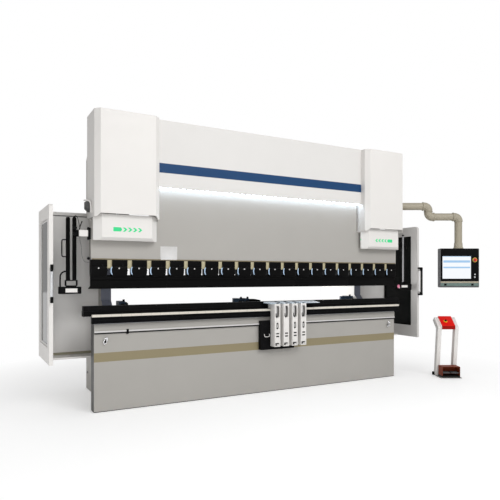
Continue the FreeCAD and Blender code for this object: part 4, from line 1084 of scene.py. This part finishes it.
# Doors and rear guards
def make_door(side, node):
    """Seal, trim and grip of one side door."""
    body = BODY_OF[node]
    levels = (1.09, 1.42)  # heights of the grip's two ends
    span = levels[1] - levels[0]
    low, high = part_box(node + "_window")
    near, far = low.x - 0.004, high.x + 0.004
    reach = (0.074, 0.022) if side > 0 else (0.001, 0.001)
    seal = framed(node + "_seal", (near, low.y - reach[0], low.z - reach[1]),
        (far, high.y + 0.001, high.z + 0.001), (near - 0.02, low.y + 0.02, low.z + 0.02),
        (far + 0.02, high.y - 0.02, high.z - 0.02))
    finish = "black rubber" if side > 0 else "grey label plastic"
    dress(soften(seal, 0.002), body, finish)
    trim = framed(node + "_trim", (near + 0.0025, low.y - reach[0] - 0.016,
        low.z - reach[1] - 0.016), (far - 0.0025, high.y + 0.017, high.z + 0.017),
        (near - 0.02, low.y - reach[0] + 0.002, low.z - reach[1] + 0.002),
        (far + 0.02, high.y - 0.001, high.z - 0.001))
    dress(soften(trim, 0.001), body, "white powder coat")
    x = (low.x + high.x) / 2
    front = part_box(node)[0].y
    if side < 0:
        grip = turned(node + "_grip", (x, front + 0.011, levels[0] - 0.012),
            [(0, 0.012), (0.003, 0.0145), (0.05, 0.0145), (0.052, 0.0125), (span - 0.028, 0.0125),
            (span - 0.026, 0.0145), (span + 0.021, 0.0145), (span + 0.024, 0.012)], "Z", 24)
        dress(grip, body, "moulded black")
        sleeve = turned(node + "_sleeve", (x, front + 0.011, levels[0] + 0.045),
            [(0, 0.013), (0.003, 0.0138), (0.229, 0.0138), (0.232, 0.013)], "Z", 24)
        dress(sleeve, body, "silver frame")
        return
    ends = []
    for level in levels:
        end = slab("end", (x, front, level), (-0.011, 0.011), (-0.010, 0.050), (-0.024, 0.024))
        extrude(end, FRONT, (0, -0.013, 0), (0.8, 1, 0.75))
        ends.append(soften(end, 0.004, 3))
    grip = turned("grip", (x, front - 0.012, levels[0]), [(0, 0.009), (0.002, 0.0115),
        (span - 0.002, 0.0115), (span, 0.009)], "Z", 20)
    dress(join(node + "_grip", [grip] + ends), body, "moulded black")


def make_guard(node):
    """Tray, rail and strips inside one rear guard."""
    low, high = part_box(node)
    west, east = low.x + 0.06, high.x - 0.025
    if low.x > 0:
        west, east = low.x + 0.025, high.x - 0.06
    tray = block(node + "_tray", (west, 0.25, low.z), (east, 0.5505, low.z + 0.004))
    extrude(tray, FRONT, (0, -0.003, 0))
    lip = block("lip", (west, 0.247, low.z), (east, 0.250, low.z + 0.018), 0.001)
    rail = block("rail", (west, 0.543, high.z - 0.036), (east, 0.5505, high.z - 0.008), 0.002)
    dress(join(node + "_tray", [tray, lip, rail]), "machine", "white powder coat")
    # Strip along the guard's foot: the tan band's colour, darkened with painted shade.
    strip = inset(block(node + "_strip", (west, 0.547, low.z + 0.004), (east, 0.5505, low.z + 0.030),
        0.001), FRONT, 0.003, -0.0005)
    dress(strip, "machine", "shaded olive strip")
    line = inset(block(node + "_line", (west, 0.547, high.z - 0.043), (east, 0.5505, high.z - 0.037),
        0.0008), FRONT, 0.001, -0.0004)
    dress(line, "machine", "moulded black")


class BRAKE_OT_doors(bpy.types.Operator):
    """Window seals and handles of the side doors, trays and rails of the rear guards"""
    bl_idname = "brake.doors"
    bl_label = "Side doors"

    def execute(self, context):
        for side, node in ((-1, "left_door"), (1, "right_door")):
            make_door(side, node)
        for node in ("left_rear_guard", "right_rear_guard"):
            make_guard(node)
        return {"FINISHED"}


# Control arm and pendant
def hang(item, spot, finish):
    """Turn a piece of the pendant in, set it at its spot and dress it."""
    return dress(turn_in(item, spot), "pendant_box", finish)


def lips(name, centre, way, radius, wide):
    """Raised lip at an elbow's end that steps down to the pipe."""
    return turned(name, centre, [(0, radius + 0.001), (way * 0.001, wide), (way * 0.005, wide + 0.003),
        (way * 0.014, wide + 0.003), (way * 0.016, wide), (way * 0.028, wide - 0.003)], "X", 36)


class BRAKE_OT_arm(bpy.types.Operator):
    """Pipes of the control arm with their elbows, collars and seams"""
    bl_idname = "brake.arm"
    bl_label = "Control arm"

    def execute(self, context):
        wide = context.scene.brake_sizes.collar
        radius, bend, drop, end, collar_top = 0.0485, 0.055, 0.14, 0.403, 1.768
        spot = PIVOTS["arm_swing"]
        top = spot.z
        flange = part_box("arm_flange")[1].x
        reach = (spot.x - flange) / math.cos(TURN) - 0.03
        tube = wide - 0.002
        run = turned("run", (-reach, 0, top), [(0, radius), (reach - bend, radius)], "X", 36)
        elbow = bent("elbow", (-bend, 0, top), tube, (-bend, 0, top - bend - 0.001), (0, 1, 0))
        stub = turned("stub", (0, 0, top - bend), [(0, tube), (-0.011, tube), (-0.0115, wide + 0.003),
            (-0.0145, wide + 0.003)], "Z", 36)
        lip = lips("lip", (-bend - 0.026, 0, top), 1, radius, wide)
        fixed = join("arm_fixed_pipe", [run, elbow, stub, lip])
        dress(turn_in(fixed, spot), "machine", "arm paint")
        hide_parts("arm_bracket_pipe")
        low, ring = top - drop, wide + 0.003
        parts = [
            turned("stub", (0, 0, top - drop / 2 - 0.001),
                   [(0, ring), (-0.003, ring), (-0.0035, tube), (-0.015, tube)], "Z", 36),
            bent("elbow", (0, 0, low + bend), tube, (bend + 0.001, 0, low + bend), (0, -1, 0)),
            lips("lip", (bend + 0.026, 0, low), -1, radius, wide),
            turned("run", (bend, 0, low), [(0, radius), (end - 2 * bend, radius)], "X", 36),
            lips("lip", (end - bend - 0.026, 0, low), 1, radius, wide),
            bent("elbow", (end - bend, 0, low), tube, (end - bend, 0, low - bend - 0.001), (0, 1, 0)),
            turned("drop", (end, 0, low - bend),
                   [(0, wide), (-0.012, wide), (-0.014, radius), (collar_top - low + bend, radius)], "Z", 36),
        ]
        swing = join("arm_swing_pipe", parts)
        dress(turn_in(swing, spot), "arm", "arm paint")
        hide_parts("swing_arm")
        low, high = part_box("arm_flange")
        middle = (low + high) / 2
        bolts = [turned("bolt", (high.x, middle.y + y, middle.z + z),
            [(0, 0.012), (0.002, 0.012), (0.002, 0.009), (0.009, 0.009), (0.01, 0.008)], "X", 6)
            for y in (-0.058, 0.058) for z in (-0.058, 0.058)]
        dress(join("arm_flange_bolts", bolts), "machine", "ground steel")
        return {"FINISHED"}


def make_panel(spot, face, base, top):
    """Bezel, collar and the two bands under the bezel."""
    bezel = inset(block("pendant_bezel", (-0.2535, face - 0.002, base + 0.082),
        (0.2535, face + 0.004, top - 0.002)), FRONT, 0.010, 0)
    inset(bezel, lambda at, out: out.y < -0.9 and abs(at.x) < 0.1, 0.002, -0.001)
    hang(soften(bezel, 0.0008), spot, "black bezel")
    strip = block("pendant_strip", (-0.2535, face - 0.004, base + 0.059),
        (0.2535, face + 0.002, base + 0.082), 0.0015)
    extrude(strip, FRONT, (0, -0.001, 0), (0.99, 1, 0.7))
    hang(strip, spot, "arm paint")
    band = slab("pendant_band", (0, face, base), (-0.2535, 0.2535), (-0.002, 0.002), (0.013, 0.059))
    notches = [slab("notch", (x, face, base), (-0.016, 0.016), (-0.01, 0.001), (0.026, 0.052))
        for x in (-0.19, 0.17)]
    carve(band, *notches)
    hang(soften(band, 0.0008), spot, "pale teal band")
    dark = [slab("pendant_notches", (x, face, base), (-0.0155, 0.0155), (-0.0012, 0.001), (0.0265, 0.0515),
        width=0.0008) for x in (-0.19, 0.17)]
    dark = join("pendant_notches", dark)
    inset(dark, FRONT, 0.003, 0.001)
    hang(dark, spot, "moulded black")
    collar = turned("pendant_collar", (0, 0, top + 0.001), [(0, 0.058), (0.001, 0.064), (0.010, 0.064),
        (0.014, 0.058), (0.040, 0.0545), (0.066, 0.0535), (0.0745, 0.0525)], "Z", 40)
    hang(collar, spot, "arm paint")


def make_screen(spot, face):
    """Rim of the screen and the generic bars that it shows."""
    low, high = (-0.2295, 1.29), (0.1495, 1.59)
    rim = framed("screen_rim", (low[0] - 0.010, face - 0.0055, low[1] - 0.010),
        (high[0] + 0.010, face, high[1] + 0.010), (low[0] + 0.001, face - 0.02, low[1] + 0.001),
        (high[0] - 0.001, face + 0.02, high[1] - 0.001))
    hang(soften(rim, 0.0015), spot, "black bezel")
    out = face - 0.0045
    bars = []
    for edge, z, tall in ((0.012, 1.504, 0.030), (0.012, 1.429, 0.021), (0.002, 1.582, 0.006)):
        stroke = block("bar", (low[0] + edge, out, z), (high[0] - edge, out + 0.001, z + tall))
        bars.append(inset(stroke, FRONT, 0.001, 0.0003))
    hang(join("screen_bars", bars), spot, "screen blue")


class BRAKE_OT_pendant(bpy.types.Operator):
    """Operator's panel: collar, bezel, screen, buttons and stop"""
    bl_idname = "brake.pendant"
    bl_label = "Pendant"

    def execute(self, context):
        spot = PIVOTS["pendant_swivel"]
        face = -0.045
        make_panel(spot, face, 1.173, 1.693)
        make_screen(spot, face)
        ring = turned("stop_ring", (0.202, face, 1.54), [(0, 0.031), (-0.004, 0.031), (-0.0065, 0.028),
            (-0.0065, 0.0235), (-0.002, 0.0225)], "Y", 40)
        hang(ring, spot, "signal yellow plastic")
        knob = turned("stop_knob", (0.202, face, 1.54), [(-0.0075, 0.0115), (-0.012, 0.0115),
            (-0.0125, 0.017), (-0.016, 0.0198), (-0.021, 0.0198), (-0.0245, 0.017), (-0.0258, 0.012)], "Y",
            36)
        dress(turn_in(knob, spot), "stop_button", "signal red plastic")
        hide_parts("pendant_stop")
        buttons = [turned("pendant_buttons", (0.202, face, z), [(0, 0.010), (-0.004, 0.010),
            (-0.0045, 0.008), (-0.008, 0.008), (-0.009, 0.006)], "Y", 20) for z in (1.347, 1.309)]
        hang(join("pendant_buttons", buttons), spot, "silver frame")
        return {"FINISHED"}


# Pedal stand
def make_leg(side):
    """One leg of the stand: a bent channel, open towards the middle."""
    near, far = sorted((side * 0.086, side * 0.136))
    leg = block("leg", (near, 0.045, 0.008), (far, 0.125, 0.02))
    extrude(leg, UP, (0, -0.085, 0.62))
    shift_edges(leg, lambda a, b: a.z > 0.63 and b.z > 0.63 and max(a.y, b.y) < -0.03, (0, 0, 0.01))
    shift_edges(leg, lambda a, b: a.z > 0.63 and b.z > 0.63 and min(a.y, b.y) > 0.03, (0, 0, -0.01))
    extrude(leg, UP, (0, 0.146, 0.125))
    shift_edges(leg, lambda a, b: a.z > 0.72 and b.z > 0.72 and min(a.y, b.y) > 0.15, (0, -0.024, -0.028))
    return inset(leg, lambda at, out: -side * out.x > 0.9, 0.004, -0.030)


class BRAKE_OT_stand(bpy.types.Operator):
    """Pedal stand: bent legs, tilted head with its stop, pedals and wheels"""
    bl_idname = "brake.stand"
    bl_label = "Pedal stand"

    def execute(self, context):
        low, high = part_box("stand_base")
        spot = (low + high) / 2
        legs = soften(join("stand_channels", [make_leg(-1), make_leg(1)]), 0.0015)
        dress(turn_in(legs, spot), "machine", "white powder coat")
        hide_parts("stand_legs")
        head = block("stand_top", (-0.086, -0.054, 0.626), (0.086, -0.040, 0.674))
        shift_edges(head, lambda a, b: min(a.z, b.z) > 0.67 and min(a.y, b.y) > -0.045, (0, 0, -0.0075))
        extrude(head, lambda at, out: out.z > 0.6, (0, 0.160, 0.115))
        shift_edges(head, lambda a, b: min(a.z, b.z) > 0.77 and min(a.y, b.y) > 0.115, (0, -0.006, -0.0035))
        bevel(head, 0.011, 4,
              lambda a, b: abs(a.x - b.x) > 0.1 and max(a.y, b.y) < -0.05 and min(a.z, b.z) > 0.67)
        soften(head, 0.002, 2, 25)
        dress(turn_in(head, spot), "machine", "stand red paint")
        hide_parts("stand_head")
        stop = turned("stand_stop", (0, 0, 0), [(0, 0.023), (0.001, 0.024), (0.005, 0.024), (0.007, 0.021)])
        cap = turned("stand_stop_cap", (0, 0, 0), [(0.006, 0.010), (0.010, 0.010), (0.011, 0.014),
            (0.013, 0.0155), (0.018, 0.0155), (0.021, 0.012)])
        for item, finish in ((stop, "signal yellow plastic"), (cap, "moulded black")):
            item.rotation_euler = (math.radians(35.7), 0, 0)
            item.location = (-0.018, 0.018, 0.7258)
            settle(item)
            dress(turn_in(item, spot), "machine", finish)
        for node, x in (("left_pedal", -0.055), ("right_pedal", 0.055)):
            plate = block(node + "_plate", (x - 0.049, -0.125, 0.062), (x + 0.049, -0.025, 0.072), 0.002)
            ribs = copies(block("rib", (x - 0.042, -0.120, 0.071), (x + 0.042, -0.115, 0.0745), 0.001),
                (0, 0.012, 0), 6)
            barrel = turned("barrel", (x - 0.049, -0.025, 0.067), [(0, 0.01), (0.098, 0.01)], "X", 24)
            pedal = join(node + "_plate", [plate, ribs, barrel])
            dress(turn_in(pedal, spot), BODY_OF[node], "pedal rubber")
            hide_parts(node)
        wheels = [turned("wheel", (side * 0.1395, 0.116, 0.024), [(0, 0.012), (side * 0.001, 0.022),
            (side * 0.003, 0.024), (side * 0.014, 0.024), (side * 0.017, 0.021), (side * 0.017, 0.012),
            (side * 0.014, 0.009)], "X", 32) for side in (-1, 1)]
        wheels = join("stand_rollers", wheels)
        dress(turn_in(wheels, spot), "machine", "black rubber")
        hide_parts("stand_wheels")
        return {"FINISHED"}


# Back gauge, drive and cabinet
def make_finger(index):
    """One gauge finger with its front plate, nose, knob and side plate."""
    node = f"finger_{index}"
    low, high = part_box(node)
    body = BODY_OF[node]
    finger = block(node + "_body", (low.x, low.y + 0.006, low.z), (high.x, high.y, high.z - 0.001))
    extrude(finger, FRONT, (0, -0.006, -0.002), (0.96, 1, 0.9))
    inset(finger, lambda at, out: out.z > 0.9 and at.y > low.y + 0.01, 0.006, 0.001)
    soften(finger, 0.002)
    if index in FINGER_REACH:
        front = block("front", (low.x - FINGER_REACH[index], low.y, low.z),
            (low.x + 0.004, low.y + 0.034, high.z - 0.001))
        extrude(front, UP, (0, 0.001, 0.001), (0.97, 0.9, 1))
        finger = join(node + "_body", [finger, soften(front, 0.002)])
    dress(finger, body, "blue machine enamel")
    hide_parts(node)
    middle = (low.x + high.x) / 2
    nose = inset(slab(node + "_nose", (middle, low.y, high.z), (-0.022, 0.022), (-0.002, 0.004),
        (-0.044, -0.024), width=0.001), FRONT, 0.004, -0.0006)
    dress(nose, body, "blackened steel")
    spot = low.x + 0.014 if index == 4 else high.x - 0.014
    black = [turned("knob", (spot, low.y + 0.018, high.z - 0.002),
        [(0, 0.009), (0.002, 0.0125), (0.018, 0.0125), (0.021, 0.010)], "Z", 24)]
    if index in WING_REACH:
        long = WING_REACH[index]
        wing = block("wing", (high.x - 0.006, 0.400, high.z - 0.052),
            (high.x + long * 0.55, 0.475, high.z - 0.012))
        extrude(wing, EAST, (long * 0.45, 0, -0.006), (1, 0.6, 0.5))
        black.append(soften(wing, 0.0015))
    dress(join(node + "_knob", black), body, "black rubber")


class BRAKE_OT_gauge(bpy.types.Operator):
    """Fingers of the back gauge with their noses, knobs and side plates"""
    bl_idname = "brake.gauge"
    bl_label = "Back gauge"

    def execute(self, context):
        for index in range(1, 5):
            make_finger(index)
        return {"FINISHED"}


class BRAKE_OT_drive(bpy.types.Operator):
    """Motor with cooling fins, pump, tank fittings and cabinet door"""
    bl_idname = "brake.drive"
    bl_label = "Drive and cabinet"

    def execute(self, context):
        low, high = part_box("motor_pump")
        y, z = (low.y + high.y) / 2, (low.z + high.z) / 2
        body = turned("motor_body", (low.x, y, z), [(0, 0.10), (0.004, 0.118), (0.05, 0.12), (0.052, 0.11),
            (0.07, 0.108), (0.33, 0.108), (0.335, 0.122), (0.36, 0.122), (0.365, 0.09), (0.42, 0.085)], "X",
            48)
        count = context.scene.brake_sizes.fins
        fins = []
        for k in range(count):
            angle = 2 * math.pi * k / count
            fin = block("fin", (low.x + 0.07, -0.0018, 0.10), (low.x + 0.33, 0.0018, 0.128), 0.0008)
            fin.rotation_euler = (angle, 0, 0)
            fin.location = (0, y, z)
            fins.append(settle(fin))
        box_top = slab("box", (low.x, y, z), (0.14, 0.26), (-0.13, -0.1), (-0.04, 0.04), width=0.005)
        motor = join("motor_body", [body, box_top] + fins)
        dress(motor, "machine", "blue machine enamel")
        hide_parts("motor_pump")
        pump = turned("pump_body", (low.x + 0.42, y, z), [(0, 0.055), (0.01, 0.074), (0.03, 0.074),
            (0.032, 0.06), (0.12, 0.06), (0.122, 0.07), (0.17, 0.07), (0.176, 0.06), (0.19, 0.05)], "X", 40)
        dress(pump, "machine", "ground steel")
        low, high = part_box("oil_tank")
        cap = turned("tank_cap", (0.9, 0.5, high.z + 0.004), [(0, 0.03), (-0.001, 0.034), (-0.003, 0.034)])
        gauge = inset(block("tank_gauge", (0.86, high.y, 2.3), (0.89, high.y + 0.012, 2.52), 0.003), BACK,
            0.007, -0.003)
        dress(join("tank_fittings", [gauge, cap]), "machine", "moulded black")
        low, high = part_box("electrical_cabinet")
        door = inset(block("cabinet_door", (high.x - 0.001, low.y + 0.02, low.z + 0.02),
            (high.x + 0.018, high.y - 0.02, high.z - 0.02), 0.003), EAST, 0.04, 0)
        inset(door, lambda at, out: out.x > 0.9 and abs(at.y - (low.y + high.y) / 2) < 0.05, 0.004, -0.002)
        dress(door, "machine", "white powder coat")
        vents = copies(block("cabinet_vents", (high.x + 0.014, low.y + 0.12, low.z + 0.12),
            (high.x + 0.0175, high.y - 0.12, low.z + 0.127), 0.001), (0, 0, 0.018), 9)
        handle = slab("handle", (high.x, low.y, 0), (0.016, 0.032), (0.05, 0.075), (1.28, 1.42), width=0.004)
        dress(join("cabinet_vents", [vents, handle]), "machine", "moulded black")
        return {"FINISHED"}


# Studio
def make_floor():
    """Pale floor that fades into a white backdrop for the camera."""
    clear()
    bpy.ops.mesh.primitive_plane_add(size=80, location=(0, 0, -0.001))
    floor = bpy.context.object
    floor.name = "studio_floor"
    settle(floor)
    tree, shader = start_finish("studio floor")
    shader.inputs["Base Color"].default_value = (0.90, 0.90, 0.90, 1)
    shader.inputs["Roughness"].default_value = 0.6
    flat = step(tree, "VectorMath", (0, place(tree)), operation="LENGTH")
    away = spread(tree, flat.outputs["Value"], 2.3, 4.4)
    path = step(tree, "LightPath").outputs
    seen = sums(tree, "MAXIMUM", path["Is Camera Ray"], path["Is Glossy Ray"])
    white = step(tree, "Emission", ("Strength", 1.0))
    glimmer = step(tree, "Emission", ("Strength", sums(tree, "MULTIPLY", path["Is Camera Ray"], 0.27)))
    lifted = step(tree, "AddShader", (0, shader.outputs[0]), (1, glimmer.outputs[0]))
    mix = step(tree, "MixShader", (0, sums(tree, "MULTIPLY", away, seen)), (1, lifted.outputs[0]),
        (2, white.outputs[0]))
    tree.links.new(mix.outputs[0], tree.nodes["Material Output"].inputs["Surface"])
    floor.data.materials.append(bpy.data.materials["studio floor"])


def make_world():
    """Even white light all round, pure white to the camera."""
    world = bpy.data.worlds.new("studio")
    bpy.context.scene.world = world
    world.use_nodes = True
    tree = world.node_tree
    tree.nodes.clear()
    path = step(tree, "LightPath")
    soft = step(tree, "Background", ("Color", (1, 1, 1, 1)), ("Strength", 0.54))
    seen = step(tree, "Background", ("Color", (1, 1, 1, 1)), ("Strength", 1.0))
    mix = step(tree, "MixShader", (0, path.outputs["Is Camera Ray"]), (1, soft.outputs[0]),
        (2, seen.outputs[0]))
    end = step(tree, "OutputWorld")
    tree.links.new(mix.outputs[0], end.inputs["Surface"])


def make_lamp(name, spot, aim, size, power):
    """Soft box that points at the machine."""
    clear()
    turn = (Vector(aim) - Vector(spot)).to_track_quat("-Z", "Y").to_euler()
    bpy.ops.object.light_add(type="AREA", location=spot, rotation=turn)
    lamp = bpy.context.object
    lamp.name = name
    lamp.data.shape = "RECTANGLE"
    lamp.data.size, lamp.data.size_y = size
    lamp.data.energy = power
    lamp.visible_camera = False


class BRAKE_OT_studio(bpy.types.Operator):
    """Floor, soft light and the camera at the photograph's place"""
    bl_idname = "brake.studio"
    bl_label = "Studio"

    def execute(self, context):
        make_floor()
        make_world()
        make_lamp("key_light", (1.0, -7.6, 6.2), (0, 0, 1.3), (6.0, 3.2), 370)
        make_lamp("fill_light", (-3.2, -6.6, 1.5), (-1.6, 0.5, 1.2), (1.6, 1.6), 62)
        make_lamp("side_light", (-5.6, -0.9, 1.3), (-2.35, 0.25, 1.25), (1.4, 1.8), 3)
        bpy.context.object.data.spread = math.radians(60)
        make_lamp("throat_light", (0.75, 1.05, 1.25), (1.669, 0.85, 1.12), (0.7, 0.5), 13)
        bpy.ops.object.camera_add(location=(-3.067, -5.195, 1.326), rotation=(math.pi / 2, 0, TURN))
        camera = bpy.context.object
        camera.name = "photo_camera"
        camera.data.sensor_width = 36
        camera.data.lens = 37.66
        camera.data.shift_y = 0.052
        context.scene.camera = camera
        context.scene.view_settings.view_transform = "Standard"
        return {"FINISHED"}


OPERATORS = (BRAKE_OT_finishes, BRAKE_OT_clamps, BRAKE_OT_ram, BRAKE_OT_lasers, BRAKE_OT_lamps,
    BRAKE_OT_panel_details, BRAKE_OT_supports, BRAKE_OT_doors, BRAKE_OT_arm, BRAKE_OT_pendant,
    BRAKE_OT_stand, BRAKE_OT_gauge, BRAKE_OT_drive, BRAKE_OT_studio)


class BRAKE_PT_sidebar(bpy.types.Panel):
    """Sizes, colours and pieces of the press brake"""
    bl_idname = "BRAKE_PT_sidebar"
    bl_label = "Press Brake"
    bl_space_type = "VIEW_3D"
    bl_region_type = "UI"
    bl_category = "Press Brake"

    def draw(self, context):
        for group in (context.scene.brake_sizes, context.scene.brake_colours):
            for name in group.__annotations__:
                self.layout.prop(group, name)
        for operator in OPERATORS:
            self.layout.operator(operator.bl_idname)


CLASSES = (BrakeSizes, BrakeColours, *OPERATORS, BRAKE_PT_sidebar)


def register():
    for item in CLASSES:
        bpy.utils.register_class(item)
    bpy.types.Scene.brake_sizes = PointerProperty(type=BrakeSizes)
    bpy.types.Scene.brake_colours = PointerProperty(type=BrakeColours)


def unregister():
    del bpy.types.Scene.brake_colours
    del bpy.types.Scene.brake_sizes
    for item in reversed(CLASSES):
        bpy.utils.unregister_class(item)


def main():
    """Make every piece."""
    register()
    bpy.ops.brake.finishes()
    bpy.ops.brake.clamps()
    bpy.ops.brake.ram()
    bpy.ops.brake.lasers()
    bpy.ops.brake.lamps()
    bpy.ops.brake.panel_details()
    bpy.ops.brake.supports()
    bpy.ops.brake.doors()
    bpy.ops.brake.arm()
    bpy.ops.brake.pendant()
    bpy.ops.brake.stand()
    bpy.ops.brake.gauge()
    bpy.ops.brake.drive()
    bpy.ops.brake.studio()
    clear()


if __name__ == "__main__":
    main()
